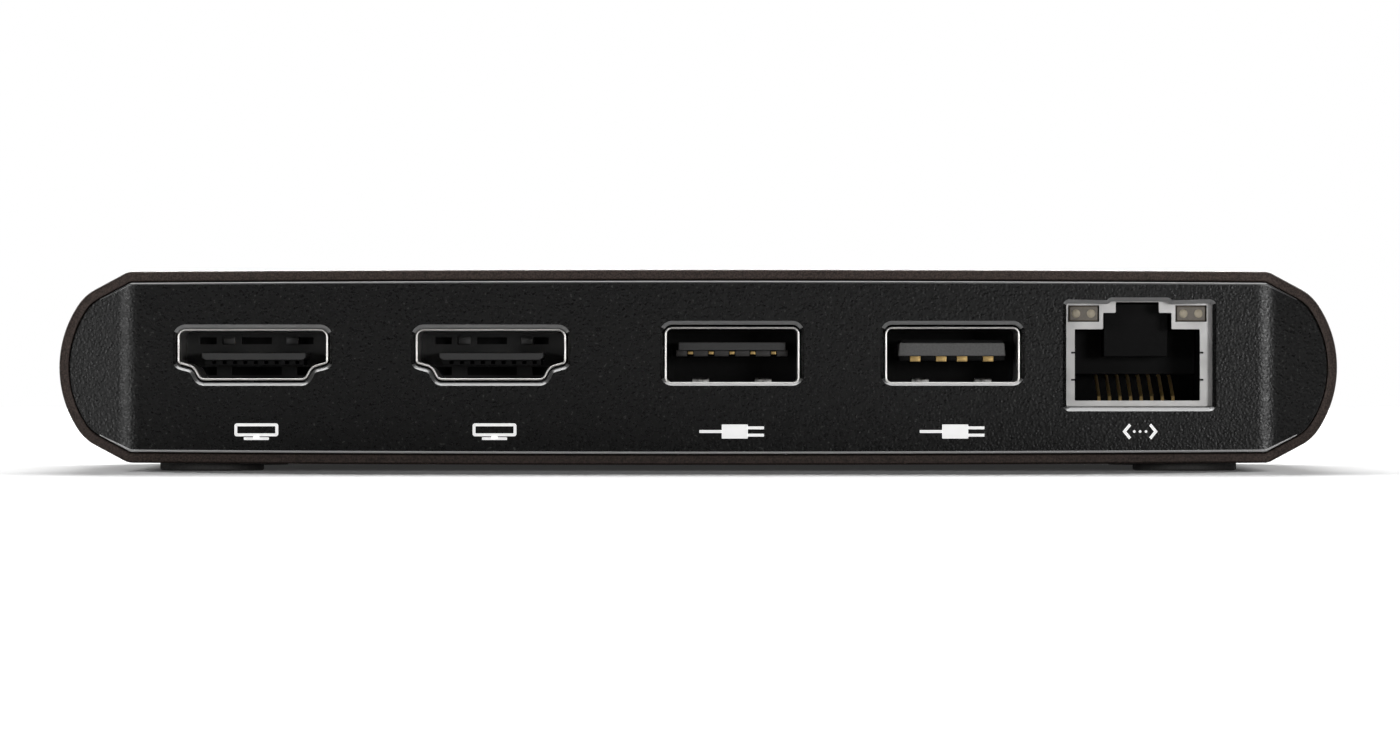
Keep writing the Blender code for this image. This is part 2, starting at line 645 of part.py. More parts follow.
def make_network_jack():
    """The jack sits in a notch of the board, so that it reaches below it."""
    half = JACK_WIDTH / 2
    low = (NETWORK_X - half, JACK_FRONT, MID_Z + JACK_LOW)
    high = (NETWORK_X + half, JACK_FRONT + JACK_DEPTH, MID_Z + JACK_HIGH)
    shield = block("network_jack_shield", low, high, "port_steel", 0.15 * MM)
    sheet = JACK_SHEET
    inner_low = (low[0] + sheet, low[1] + sheet, low[2] + sheet)
    inner_high = (high[0] - sheet, high[1] + 1 * MM, high[2] - sheet)
    cut(shield, block("jack_shield_inside", inner_low, inner_high, "port_steel"))
    mouth = placed(jack_opening(), NETWORK_X, MID_Z)
    window = [(mouth, JACK_FRONT - 1 * MM), (mouth, JACK_FRONT + 1 * MM)]
    cut(shield, along_y("jack_shield_window", window, "port_steel"))
    for side in (-1, 1):
        for n, setback in enumerate((4.0 * MM, 10.5 * MM)):
            x0, x1 = sorted((NETWORK_X + side * (half - 0.2 * MM), NETWORK_X + side * (half + 1.4 * MM)))
            y0, z0 = JACK_FRONT + setback, BOARD_TOP + SEAT
            wing = block(f"jack_wing_{side}_{n}", (x0, y0, z0), (x1, y0 + 2 * MM, z0 + sheet), "port_steel")
            fuse(shield, wing)
    gap = FIT_GAP
    body_low = tuple(v + gap for v in inner_low)
    body_high = (inner_high[0] - gap, high[1] - 0.2 * MM, inner_high[2] - gap)
    body = block("network_jack_body", body_low, body_high, "port_plastic")
    cavity = [(mouth, JACK_FRONT - 1 * MM), (mouth, JACK_FRONT + JACK_OPENING_DEPTH)]
    cut(body, along_y("jack_cavity", cavity, "port_plastic"))
    comb_low = (NETWORK_X - 6.3 * MM, JACK_FRONT + 7.2 * MM, MID_Z - 0.55 * MM)
    comb_high = (NETWORK_X + 6.3 * MM, JACK_FRONT + JACK_OPENING_DEPTH + 0.5 * MM, MID_Z + 3.8 * MM)
    fuse(body, block("jack_comb_wall", comb_low, comb_high, "port_plastic"))
    for side, name in ((-1, "left"), (1, "right")):
        x = NETWORK_X + side * JACK_LAMP_X
        width, height = JACK_LAMP
        for grow, target, y0, y1 in (
            (0.04 * MM, shield, low[1] - 1 * MM, low[1] + 1 * MM),
            (gap, body, low[1] - 1 * MM, low[1] + JACK_LAMP_LENGTH + gap),
        ):
            pocket_low = (x - width / 2 - grow, y0, MID_Z + JACK_LAMP_Z - height / 2 - grow)
            pocket_high = (x + width / 2 + grow, y1, MID_Z + JACK_LAMP_Z + height / 2 + grow)
            cut(target, block(f"lamp_pocket_{name}_{target.name}", pocket_low, pocket_high, "port_plastic"))
        lamp_low = (x - width / 2, low[1] + 0.1 * MM, MID_Z + JACK_LAMP_Z - height / 2)
        lamp_high = (x + width / 2, low[1] + JACK_LAMP_LENGTH, MID_Z + JACK_LAMP_Z + height / 2)
        block(f"network_lamp_{name}", lamp_low, lamp_high, "lamp_resin", 0.12 * MM)
    make_jack_contacts(body)


def make_jack_contacts(body):
    """Eight spring wires that rise from the cavity's floor towards the back, joined behind the cavity."""
    floor = MID_Z - 2.95 * MM
    front, rise_end = JACK_FRONT + 1.6 * MM, JACK_FRONT + 8.2 * MM
    rear = JACK_FRONT + JACK_DEPTH - 0.9 * MM
    crest = MID_Z - 0.95 * MM
    wire = 0.3 * MM
    half = 0.18 * MM
    side_view = [
        (front, floor), (front + 0.8 * MM, floor), (rise_end, crest - wire), (rear, crest - wire),
        (rear, crest), (rise_end - 0.1 * MM, crest), (front + 0.7 * MM, floor + wire), (front, floor + wire),
    ]
    bar_half = 4.2 * MM
    bar_low = (NETWORK_X - bar_half, rear - 0.4 * MM, crest - wire - 0.4 * MM)
    bar_high = (NETWORK_X + bar_half, rear + 0.1 * MM, crest + 0.4 * MM)
    contacts = block("network_jack_contacts", bar_low, bar_high, "contact_gold")
    for n in range(JACK_CONTACTS):
        x = NETWORK_X + (n - (JACK_CONTACTS - 1) / 2) * JACK_CONTACT_PITCH
        fuse(contacts, along_x(f"jack_wire_{n}", side_view, x - half, x + half, "contact_gold"))
    slot_low = (bar_low[0] - 0.3 * MM, JACK_FRONT + 7.0 * MM, crest - wire - 0.8 * MM)
    slot_high = (bar_high[0] + 0.3 * MM, rear + 3 * MM, crest + 0.6 * MM)
    cut(body, block("jack_wire_slot", slot_low, slot_high, "port_plastic"))


def make_host_inlet():
    """The small oval inlet on the rear cap that the computer's lead plugs into."""
    opening = rectangle(*HOST_OPENING, 1.2 * MM)
    port_shell("host_inlet", opening, 0, HOST_Z, HOST_SHELL_LENGTH, 1)
    mouth = abs(MOUTH_Y)
    end = mouth - HOST_SHELL_LENGTH
    core = placed(grown(opening, -FIT_GAP), 0, HOST_Z)
    wall = mouth - HOST_CAVITY_DEPTH
    insert = along_y("host_inlet_insert", [(core, end + 0.2 * MM), (core, wall)], "port_plastic")
    width, thickness = HOST_TONGUE
    tongue_low = (-width / 2, wall - JOIN, HOST_Z - thickness / 2)
    tongue_high = (width / 2, mouth - HOST_TONGUE_RECESS, HOST_Z + thickness / 2)
    fuse(insert, block("host_tongue", tongue_low, tongue_high, "port_plastic", 0.1 * MM))


# Chips and coils: name, middle (x, y), size (x, y, z) in millimetres, material
COMPONENTS = [
    ("host_controller_chip", (-4.0, 6.0), (10.7, 10.7, 1.0), "chip_epoxy"),
    ("video_converter_chip_left", (-40.0, -12.0), (7.0, 7.0, 0.9), "chip_epoxy"),
    ("video_converter_chip_right", (-20.0, -12.0), (7.0, 7.0, 0.9), "chip_epoxy"),
    ("data_hub_chip", (12.0, -10.0), (9.0, 9.0, 0.9), "chip_epoxy"),
    ("network_controller_chip", (36.0, -4.0), (6.0, 6.0, 0.85), "chip_epoxy"),
    ("network_transformer", (47.0, -4.5), (9.6, 7.2, 5.2), "chip_epoxy"),
    ("firmware_memory_chip", (10.0, 14.0), (6.0, 5.0, 1.0), "chip_epoxy"),
    ("crystal_host", (-16.0, 9.0), (3.2, 2.5, 0.8), "bare_aluminium"),
    ("crystal_network", (29.0, -4.0), (3.2, 2.5, 0.8), "bare_aluminium"),
    ("power_inductor_left", (-38.0, 14.0), (6.6, 6.6, 3.0), "chip_epoxy"),
    ("power_inductor_middle", (-28.0, 14.0), (6.6, 6.6, 3.0), "chip_epoxy"),
    ("power_inductor_right", (33.0, 14.0), (6.6, 6.6, 3.0), "chip_epoxy"),
]
CAPACITOR_RADIUS = 3.15 * MM
CAPACITOR_HEIGHT = 5.8 * MM
CAPACITOR_PLACES = [("left", -48.0 * MM, 12.0 * MM), ("right", 44.0 * MM, 12.0 * MM)]


def make_components():
    base = BOARD_TOP + SEAT
    for name, (x, y), (sx, sy, sz), material_name in COMPONENTS:
        low = ((x - sx / 2) * MM, (y - sy / 2) * MM, base)
        high = ((x + sx / 2) * MM, (y + sy / 2) * MM, base + sz * MM)
        block(name, low, high, material_name, 0.15 * MM)
    for side, x, y in CAPACITOR_PLACES:
        neck, radius, top = CAPACITOR_RADIUS - 0.3 * MM, CAPACITOR_RADIUS, base + CAPACITOR_HEIGHT
        rings = [(radius, base), (radius, base + 1 * MM), (neck, base + 1.3 * MM), (radius, base + 1.6 * MM)]
        rings += [(radius, top - 0.3 * MM), (neck, top)]
        round_tool(f"input_capacitor_{side}", x, y, rings, "bare_aluminium", 24)


def make_heat_path():
    """The host controller's heat goes through a pad, a spreader and a second pad to the sleeve's roof."""
    chip_x, chip_y = -4.0 * MM, 6.0 * MM
    chip_top = BOARD_TOP + SEAT + 1.0 * MM
    pad_top = chip_top + SEAT + 0.5 * MM
    roof = MID_Z + BODY_HEIGHT / 2 - WALL - CROWN
    half = 5.0 * MM
    pad_low = (chip_x - half, chip_y - half, chip_top + SEAT)
    block("controller_thermal_pad", pad_low, (chip_x + half, chip_y + half, pad_top), "thermal_silicone")
    plate_x, plate_y, plate_z = 22.0 * MM, 11.0 * MM, roof - 2.2 * MM
    plate_low = (chip_x - plate_x, chip_y - plate_y, plate_z)
    plate_high = (chip_x + plate_x, chip_y + plate_y, roof - 1.0 * MM)
    spreader = block("heat_spreader", plate_low, plate_high, "bare_aluminium", 0.3 * MM)
    foot_low = (chip_x - half, chip_y - half, pad_top + SEAT)
    foot_high = (chip_x + half, chip_y + half, plate_z + SEAT)
    fuse(spreader, block("spreader_foot", foot_low, foot_high, "bare_aluminium"))
    pad_low = (chip_x - plate_x * 0.8, chip_y - plate_y * 0.8, roof - 0.9 * MM)
    pad_high = (chip_x + plate_x * 0.8, chip_y + plate_y * 0.8, roof - 0.1 * MM)
    block("housing_thermal_pad", pad_low, pad_high, "thermal_silicone")


def shading_by_angle():
    """A node group that shades faces smooth, with a crisp line where they meet above SMOOTH_ANGLE."""
    group = bpy.data.node_groups.new("Shading by angle", "GeometryNodeTree")
    for direction in ("INPUT", "OUTPUT"):
        group.interface.new_socket("Geometry", in_out=direction, socket_type="NodeSocketGeometry")
    start = group.nodes.new("NodeGroupInput")
    end = group.nodes.new("NodeGroupOutput")
    smooth = group.nodes.new("GeometryNodeSetShadeSmooth")
    crisp = group.nodes.new("GeometryNodeSetShadeSmooth")
    crisp.domain = "EDGE"
    crisp.inputs["Shade Smooth"].default_value = False
    angle = group.nodes.new("GeometryNodeInputMeshEdgeAngle")
    steep = group.nodes.new("FunctionNodeCompare")
    steep.operation = "GREATER_THAN"
    steep.inputs[1].default_value = SMOOTH_ANGLE
    group.links.new(angle.outputs["Unsigned Angle"], steep.inputs[0])
    group.links.new(steep.outputs["Result"], crisp.inputs["Selection"])
    group.links.new(start.outputs[0], smooth.inputs["Geometry"])
    group.links.new(smooth.outputs[0], crisp.inputs["Geometry"])
    group.links.new(crisp.outputs[0], end.inputs[0])
    return group


def assemble():
    """Every object hangs under one empty, and every solid gets its shading."""
    shading = shading_by_angle()
    solids = list(bpy.context.scene.objects)
    station = bpy.data.objects.new("docking_station", None)
    bpy.context.scene.collection.objects.link(station)
    for obj in solids:
        obj.parent = station
        if not obj.hide_render:
            obj.modifiers.new("Shading", "NODES").node_group = shading


def main():
    clear_scene()
    make_sleeve()
    make_feet()
    make_front_cap()
    make_rear_cap()
    make_case_screws()
    make_board()
    make_video_port("video_port_left", VIDEO_LEFT_X)
    make_video_port("video_port_right", VIDEO_RIGHT_X)
    make_data_port("fast_data_port", FAST_DATA_X, FAST_DATA_CONTACTS, 3.0 * MM, (0.9 * MM, 0.7 * MM))
    make_data_port("data_port", DATA_X, DATA_CONTACTS, 2.2 * MM, (1.0 * MM, 0.46 * MM))
    make_network_jack()
    make_host_inlet()
    make_components()
    make_heat_path()
    assemble()


main()
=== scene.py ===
import json
import math
from functools import cache

import bmesh
import bpy
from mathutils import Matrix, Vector


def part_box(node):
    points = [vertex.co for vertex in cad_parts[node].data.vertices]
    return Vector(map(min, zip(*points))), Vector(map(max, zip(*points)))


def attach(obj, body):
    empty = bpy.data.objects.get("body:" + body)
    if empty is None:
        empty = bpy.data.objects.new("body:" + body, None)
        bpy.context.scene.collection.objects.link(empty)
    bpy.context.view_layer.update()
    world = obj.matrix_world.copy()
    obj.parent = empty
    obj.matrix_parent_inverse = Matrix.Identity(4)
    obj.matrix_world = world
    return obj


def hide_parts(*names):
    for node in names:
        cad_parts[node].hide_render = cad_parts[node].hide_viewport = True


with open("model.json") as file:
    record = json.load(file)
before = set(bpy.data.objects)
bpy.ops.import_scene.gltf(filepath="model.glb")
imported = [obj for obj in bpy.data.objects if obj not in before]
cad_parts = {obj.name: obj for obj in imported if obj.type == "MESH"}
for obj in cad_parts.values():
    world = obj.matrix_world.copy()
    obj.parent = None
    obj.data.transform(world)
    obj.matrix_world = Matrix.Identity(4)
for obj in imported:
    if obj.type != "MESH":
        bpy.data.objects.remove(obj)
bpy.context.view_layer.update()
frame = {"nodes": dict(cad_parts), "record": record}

MM = 0.001

# Outline of the body's cross-section, about its own middle
WALL = 1.0 * MM
CROWN = 0.2 * MM
FLAT_HALF = 54.6 * MM
SHOULDER_X = 58.75 * MM
SHOULDER_Z = 7.0 * MM
EDGE_RADIUS = 1.8 * MM
SHOULDER_RADIUS = 4.5 * MM
SIDE_STEPS = 28
CROWN_STEPS = 18

# Caps
CAP_GAP = 0.05 * MM
FACE_THICKNESS = 1.4 * MM
SKIRT_LENGTH = 6.5 * MM
SKIRT_THICKNESS = 1.0 * MM
CAP_FILLET = 0.22 * MM
CAP_END_FILLET = 0.08 * MM
BEND_X = 53.55 * MM
BEND_RADIUS = 5.2 * MM
BEND_ANGLE = math.radians(22)
BEND_STEPS = 11
CUTOUT_GAP = 0.08 * MM
CUTOUT_CHAMFER = 0.36 * MM

CUTTER_OVERLAP = 0.05 * MM

# Port shells. SHELL_WALL is the sheet of the CAD's shells and RIM_WALL what shows of it at the mouth
SHELL_WALL = 0.3 * MM
RIM_WALL = 0.22 * MM
LIP = 0.09 * MM
INSERT_GAP = 0.02 * MM

# Video ports
VIDEO_TOP = 2.27 * MM
VIDEO_DEPTH = 10.4 * MM
VIDEO_HOLE_DROP = 0.05 * MM
VIDEO_TONGUE_DROP = 0.17 * MM
VIDEO_LOWER_CONTACTS = 9
VIDEO_UPPER_CONTACTS = 10

# Data ports
DATA_OPENING = (12.5 * MM, 5.12 * MM)
DATA_CORNER = 0.5 * MM
DATA_DEPTH = 11.7 * MM
DATA_HOLE_LIFT = 0.24 * MM
DATA_TONGUE_HALF = 5.15 * MM

# Host inlet
HOST_OPENING = (8.34 * MM, 2.56 * MM)
HOST_CORNER = 1.2 * MM
HOST_DEPTH = 6.2 * MM
HOST_CONTACTS = 12
HOST_PITCH = 0.5 * MM

# Network jack
JACK_SHIFT = 0.14 * MM
JACK_SHEET = 0.3 * MM
JACK_DEPTH = 11.4 * MM
JACK_CONTACTS = 8
JACK_PITCH = 1.016 * MM
LAMP_X = 5.15 * MM
LAMP_Z = 5.15 * MM
LAMP_SIZE = (2.8 * MM, 1.48 * MM)
SHIELD_POCKET = (3.0 * MM, 1.58 * MM)
BODY_POCKET = (2.9 * MM, 1.5 * MM)

# Signs
SIGN_DROP = 6.15 * MM
INK_THICKNESS = 0.02 * MM

FEET = ["foot_front_left", "foot_front_right", "foot_rear_left", "foot_rear_right"]
FOOT_STEPS = 72

# Stage, in metres
FLOOR_HALF = 1.3
FLOOR_THICKNESS = 0.01
ROOM_LIGHT = 0.04
CAMERA_DISTANCE = 0.8
CAMERA_X = 0.00017
CAMERA_Z = 0.00964

sleeve_low, sleeve_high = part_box("housing_sleeve")
cap_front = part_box("port_cap")[0].y
cap_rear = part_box("host_cap")[1].y
mid_z = (sleeve_low.z + sleeve_high.z) / 2
half_width = (sleeve_high.x - sleeve_low.x) / 2
half_height = (sleeve_high.z - sleeve_low.z) / 2


# Outlines: lists of (across, up) points that run counter-clockwise


def rounded(corners, step=math.radians(7)):
    """The outline through corners of (across, up, radius), with an arc at each corner that has a radius."""
    points = []
    for i, (across, up, radius) in enumerate(corners):
        corner = Vector((across, up))
        before = (Vector(corners[i - 1][:2]) - corner).normalized()
        after = (Vector(corners[(i + 1) % len(corners)][:2]) - corner).normalized()
        turn = math.pi - before.angle(after)
        if radius <= 0:
            points.append((across, up))
            continue
        start = corner + before * radius * math.tan(turn / 2)
        centre = corner + (before + after).normalized() * radius / math.cos(turn / 2)
        first = start - centre
        direction = 1 if before.x * after.y - before.y * after.x < 0 else -1
        steps = max(1, math.ceil(turn / step))
        for n in range(steps + 1):
            angle = direction * turn * n / steps
            turned = Vector((
                first.x * math.cos(angle) - first.y * math.sin(angle),
                first.x * math.sin(angle) + first.y * math.cos(angle),
            ))
            points.append(tuple(centre + turned))
    return points


def grown(points, distance):
    """The outline with every side moved out by distance, or in where distance is negative."""
    moved = []
    for i, point in enumerate(points):
        here = Vector(point[:2])
        incoming = (here - Vector(points[i - 1][:2])).normalized()
        outgoing = (Vector(points[(i + 1) % len(points)][:2]) - here).normalized()
        normal_in = Vector((incoming.y, -incoming.x))
        normal_out = Vector((outgoing.y, -outgoing.x))
        shift = (normal_in + normal_out) * distance / (1 + normal_in.dot(normal_out))
        moved.append((*(here + shift), *point[2:]))
    return moved


def placed(points, across, up):
    return [(x + across, z + up) for x, z in points]


def mirrored(right):
    """The whole outline of a shape that's the same on both sides, from its right half in millimetres."""
    left = [(-x, z, radius) for x, z, radius in reversed(right)]
    return [(x * MM, z * MM, radius * MM) for x, z, radius in right + left]


def rectangle(width, height, radius=0.0):
    x, z = width / 2, height / 2
    return rounded([(x, z, radius), (-x, z, radius), (-x, -z, radius), (x, -z, radius)])


def circle(radius, steps):
    turns = [2 * math.pi * n / steps for n in range(steps)]
    return [(radius * math.cos(a), radius * math.sin(a)) for a in turns]


@cache
def body_outline(inset):
    """The sleeve's cross-section, moved in by inset."""
    bow = half_width - SHOULDER_X
    side_radius = (bow**2 + SHOULDER_Z**2) / (2 * bow)
    span = math.asin(SHOULDER_Z / side_radius)
    half = []
    for n in range(SIDE_STEPS + 1):
        angle = span * (2 * n / SIDE_STEPS - 1)
        if n in (1, SIDE_STEPS - 1):
            continue
        radius = SHOULDER_RADIUS if n in (0, SIDE_STEPS) else 0.0
        x = half_width - side_radius * (1 - math.cos(angle))
        half.append((x, side_radius * math.sin(angle), radius))
    for n in range(CROWN_STEPS + 1):
        share = 1 - 2 * n / CROWN_STEPS
        radius = EDGE_RADIUS if n in (0, CROWN_STEPS) else 0.0
        half.append((FLAT_HALF * share, half_height - CROWN * share**2, radius))
    corners = half + [(-x, -z, radius) for x, z, radius in half]
    softened = []
    for x, z, radius in grown(corners, -inset):
        softened.append((x, z, max(radius - inset, EDGE_RADIUS / 3) if radius else 0.0))
    return placed(rounded(softened, math.radians(5)), 0, mid_z)


def video_opening():
    """The mouth of a video port: a slab with its lower corners stepped in."""
    return rounded(mirrored([(4.95, -2.27, 0.5), (5.55, -1.1, 1.2), (7.0, -0.7, 0.25), (7.0, 2.27, 0.6)]))


def jack_opening():
    """The mouth of the network jack: a wide cavity with two narrower steps above it for the latch."""
    steps = [(6.0, -3.2), (6.0, 3.65), (3.28, 3.65), (3.28, 5.22), (2.07, 5.22), (2.07, 6.25)]
    return rounded(mirrored([(x, z, 0.12) for x, z in steps]))


def jack_cutout():
    """The hole in the cap for the network jack."""
    return rounded(mirrored([(7.0, -3.85, 0.3), (7.0, 6.15, 0.3), (3.0, 6.05, 0.5), (2.7, 6.32, 0.25)]))


def section_ring(front, back, wall, radius):
    """The cut through a tube's wall: (inset, y) points round it, with softened ends."""
    corners = [(0, front, radius), (wall, front, radius), (wall, back, radius), (0, back, radius)]
    return rounded(corners, math.radians(18))


# Materials


class Look:
    """A procedural material on the object's own coordinates, whose lengths are given in millimetres."""

    def __init__(self, name, colour, roughness, metallic=0.0, ior=1.5):
        self.material = bpy.data.materials.new(name)
        self.material.use_nodes = True
        self.tree = self.material.node_tree
        self.shader = self.tree.nodes["Principled BSDF"]
        self.colour = colour
        self.set("Base Color", (*colour, 1.0))
        self.set("Roughness", roughness)
        self.set("Metallic", metallic)
        self.set("IOR", ior)
        self.place = self.tree.nodes.new("ShaderNodeTexCoord").outputs["Object"]
        self.height = None

    def set(self, socket, value):
        self.shader.inputs[socket].default_value = value
        return self

    def noise(self, size, detail=2.0, distortion=0.0, stretch=None):
        """Noise whose features are about size across."""
        node = self.tree.nodes.new("ShaderNodeTexNoise")
        node.inputs["Scale"].default_value = 1 / (size * MM)
        node.inputs["Detail"].default_value = detail
        node.inputs["Distortion"].default_value = distortion
        place = self.place
        if stretch:
            mapping = self.tree.nodes.new("ShaderNodeMapping")
            mapping.inputs["Scale"].default_value = stretch
            self.tree.links.new(place, mapping.inputs["Vector"])
            place = mapping.outputs["Vector"]
        self.tree.links.new(place, node.inputs["Vector"])
        return node.outputs["Fac"]

    def cells(self, size):
        """Distance from the middle of rounded cells about size across."""
        node = self.tree.nodes.new("ShaderNodeTexVoronoi")
        node.feature = "SMOOTH_F1"
        node.inputs["Scale"].default_value = 1 / (size * MM)
        node.inputs["Smoothness"].default_value = 0.5
        self.tree.links.new(self.place, node.inputs["Vector"])
        return node.outputs["Distance"]

    def mapped(self, source, low, high, to_low, to_high):
        """Source with its range low to high stretched to to_low to to_high."""
        node = self.tree.nodes.new("ShaderNodeMapRange")
        for socket, value in (("From Min", low), ("From Max", high), ("To Min", to_low), ("To Max", to_high)):
            node.inputs[socket].default_value = value
        self.tree.links.new(source, node.inputs["Value"])
        return node.outputs["Result"]

    def bump(self, source, height):
        """Relief of that height, in millimetres."""
        node = self.tree.nodes.new("ShaderNodeBump")
        node.inputs["Distance"].default_value = height * MM
        node.inputs["Strength"].default_value = 1.0
        self.tree.links.new(source, node.inputs["Height"])
        if self.height:
            self.tree.links.new(self.height, node.inputs["Normal"])
        self.height = node.outputs["Normal"]
        self.tree.links.new(self.height, self.shader.inputs["Normal"])
        return self

    def vary(self, socket, source, low, high, to_low, to_high):
        self.tree.links.new(self.mapped(source, low, high, to_low, to_high), self.shader.inputs[socket])
        return self

    def tint(self, source, stops):
        """Colour along source: (position, colour) stops."""
        node = self.tree.nodes.new("ShaderNodeValToRGB")
        ramp = node.color_ramp
        while len(ramp.elements) < len(stops):
            ramp.elements.new(0.5)
        for element, (position, colour) in zip(ramp.elements, stops):
            element.position = position
            element.color = (*colour, 1.0)
        self.tree.links.new(source, node.inputs["Fac"])
        self.tree.links.new(node.outputs["Color"], self.shader.inputs["Base Color"])
        return self


def scaled(colour, factor):
    return tuple(min(1.0, channel * factor) for channel in colour)


def speckled(look, size, spread):
    """The base colour varied by a fine noise, spread either way."""
    dark, light = scaled(look.colour, 1 - spread), scaled(look.colour, 1 + spread)
    return look.tint(look.noise(size, 3.0), [(0.35, dark), (0.65, light)])


def make_looks():
    looks = {}
    bronze = Look("anodised aluminium", (0.031, 0.0222, 0.0188), 0.55, 0.75)
    speckled(bronze, 0.16, 0.55)
    bronze.bump(bronze.noise(0.14, 3.0), 0.02)
    looks["anodised_aluminium"] = bronze
    cap = Look("grained cap plastic", (0.0015, 0.0015, 0.0014), 0.34, ior=1.42)
    cap.set("Specular IOR Level", 0.25)
    cap.bump(cap.mapped(cap.cells(0.26), 0, 1, 1, 0), 0.018)
    cap.bump(cap.noise(0.2, 1.5, 0.4), 0.017)
    cap.tint(cap.noise(0.3, 2.0), [(0.66, cap.colour), (0.76, (0.03, 0.03, 0.028))])
    cap.vary("Roughness", cap.noise(0.3, 2.0), 0.3, 0.7, 0.24, 0.35)
    looks["cap_plastic"] = cap
    # Lighter copies of the cap plastic for its edges, all painted light: the first is a painted highlight on
    # edges that face up towards the top light, the other two a painted reflection of the white floor on edges
    # that face down.
    trims = (
        ("painted_light_trim", "cap plastic with painted highlight", 0.05),
        ("painted_reflection_trim", "cap plastic with painted floor reflection", 0.4),
        ("dim_painted_reflection_trim", "cap plastic with dimmer painted floor reflection", 0.17),
    )
    for key, name, grey in trims:
        painted_light_trim = Look(name, (grey, grey, grey), 0.34, ior=1.9)
        looks[key] = painted_light_trim.bump(painted_light_trim.noise(0.8), 0.002)
    steel = Look("nickel-plated steel", (0.55, 0.54, 0.52), 0.36, 1.0)
    steel.bump(steel.noise(1.2, 2.0), 0.002)
    steel.vary("Roughness", steel.noise(0.8, 3.0), 0.3, 0.7, 0.3, 0.42)
    looks["port_steel"] = steel
    satin = Look("satin shield steel", (0.37, 0.365, 0.36), 0.5, 1.0)
    satin.vary("Roughness", satin.noise(1.5, 3.0), 0.3, 0.7, 0.44, 0.56)
    looks["satin_steel"] = satin
    # A darker copy of the port steel for the spring tabs deep in the ports: painted shade.
    looks["painted_shade_steel"] = speckled(Look("shaded spring steel", (0.30, 0.295, 0.285), 0.45, 1.0), 0.35, 0.6)
    plastic = Look("port plastic", (0.0022, 0.0022, 0.0023), 0.6, ior=1.4)
    plastic.set("Specular IOR Level", 0.12)
    plastic.bump(plastic.noise(0.25, 3.0), 0.012)
    looks["port_plastic"] = plastic
    wall = Look("wall plastic", (0.003, 0.003, 0.003), 0.55).set("Specular IOR Level", 0.3)
    looks["wall_plastic"] = speckled(wall, 0.3, 0.3)
    looks["tongue"] = speckled(Look("tongue plastic", (0.0055, 0.0055, 0.0055), 0.5), 0.2, 0.2)
    looks["dim_plastic"] = speckled(Look("dim plastic", (0.0062, 0.0046, 0.0040), 0.6), 0.2, 0.2)
    looks["pale_tongue"] = speckled(Look("pale tongue plastic", (0.062, 0.061, 0.06), 0.5), 0.2, 0.15)
    gold = Look("gold-plated contact", (0.34, 0.235, 0.095), 0.5, 0.9)
    gold.vary("Roughness", gold.noise(0.2, 2.0), 0.3, 0.7, 0.42, 0.6)
    looks["contact_gold"] = gold
    lamp = Look("lamp resin", (0.09, 0.075, 0.058), 0.4)
    lamp.bump(lamp.noise(0.4, 2.0), 0.01)
    looks["lamp_resin"] = speckled(lamp, 0.3, 0.1)
    looks["lamp_core"] = speckled(Look("lamp core", (0.31, 0.27, 0.20), 0.5), 0.3, 0.08)
    rubber = Look("foot rubber", (0.014, 0.013, 0.012), 0.7)
    rubber.bump(rubber.noise(0.2, 3.0), 0.02)
    looks["foot_rubber"] = speckled(rubber, 0.2, 0.5)
    screw = Look("black screw steel", (0.1, 0.1, 0.1), 0.35, 1.0)
    looks["screw_steel"] = screw.bump(screw.noise(0.2), 0.004)
    board = Look("board laminate", (0.010, 0.045, 0.030), 0.4)
    looks["board_laminate"] = speckled(board, 0.6, 0.2)
    chip = Look("chip epoxy", (0.018, 0.018, 0.020), 0.55)
    looks["chip_epoxy"] = chip.bump(chip.noise(0.15, 3.0), 0.01)
    metal = Look("bare aluminium", (0.55, 0.56, 0.57), 0.35, 1.0)
    looks["bare_aluminium"] = metal.bump(metal.noise(0.2, 2.0, 0.0, (1, 12, 1)), 0.004)
    looks["thermal_silicone"] = speckled(Look("thermal silicone", (0.30, 0.32, 0.36), 0.7), 0.3, 0.1)
    # The ink's white is the print's own colour; its faint glow is painted light.
    ink = Look("white ink", (0.9, 0.9, 0.89), 0.5).set("Emission Color", (1, 1, 1, 1))
    looks["ink"] = speckled(ink.set("Emission Strength", 0.3), 0.3, 0.03)
    # The floor glows faintly: painted light that lifts the shadow under the body.
    paper = Look("paper floor with painted glow", (0.86, 0.86, 0.86), 0.9).set("Specular IOR Level", 0.0)
    paper.set("Emission Color", (1, 1, 1, 1)).set("Emission Strength", 0.028)
    looks["paper"] = speckled(paper, 2.0, 0.01)
    return looks


looks = make_looks()


# Pieces


def to_object(name, mesh_data, look_names):
    """The mesh as an object, with touching points merged and its faces turned outwards."""
    bmesh.ops.remove_doubles(mesh_data, verts=mesh_data.verts, dist=0.0001 * MM)
    bmesh.ops.recalc_face_normals(mesh_data, faces=mesh_data.faces)
    mesh = bpy.data.meshes.new(name)
    mesh_data.to_mesh(mesh)
    mesh_data.free()
    for look_name in look_names:
        mesh.materials.append(looks[look_name].material)
    obj = bpy.data.objects.new(name, mesh)
    bpy.context.scene.collection.objects.link(obj)
    return obj


def add_loft(mesh_data, sections, loop=False):
    """Faces through rings of points. The ends are closed, or joined to each other where loop is set."""
    rings = [[mesh_data.verts.new(point) for point in ring] for ring in sections]
    count = len(rings[0])
    pairs = list(zip(rings, rings[1:] + rings[:1])) if loop else list(zip(rings, rings[1:]))
    for near, far in pairs:
        for i in range(count):
            after = (i + 1) % count
            mesh_data.faces.new((near[i], near[after], far[after], far[i]))
    if not loop:
        mesh_data.faces.new(rings[0])
        mesh_data.faces.new(rings[-1])
    return rings


def ring_y(outline, y):
    return [(x, y, z) for x, z in outline]


def ring_z(outline, z):
    return [(x, y, z) for x, y in outline]


def lofted(name, sections, look_name, loop=False):
    mesh_data = bmesh.new()
    add_loft(mesh_data, sections, loop)
    return to_object(name, mesh_data, [look_name])


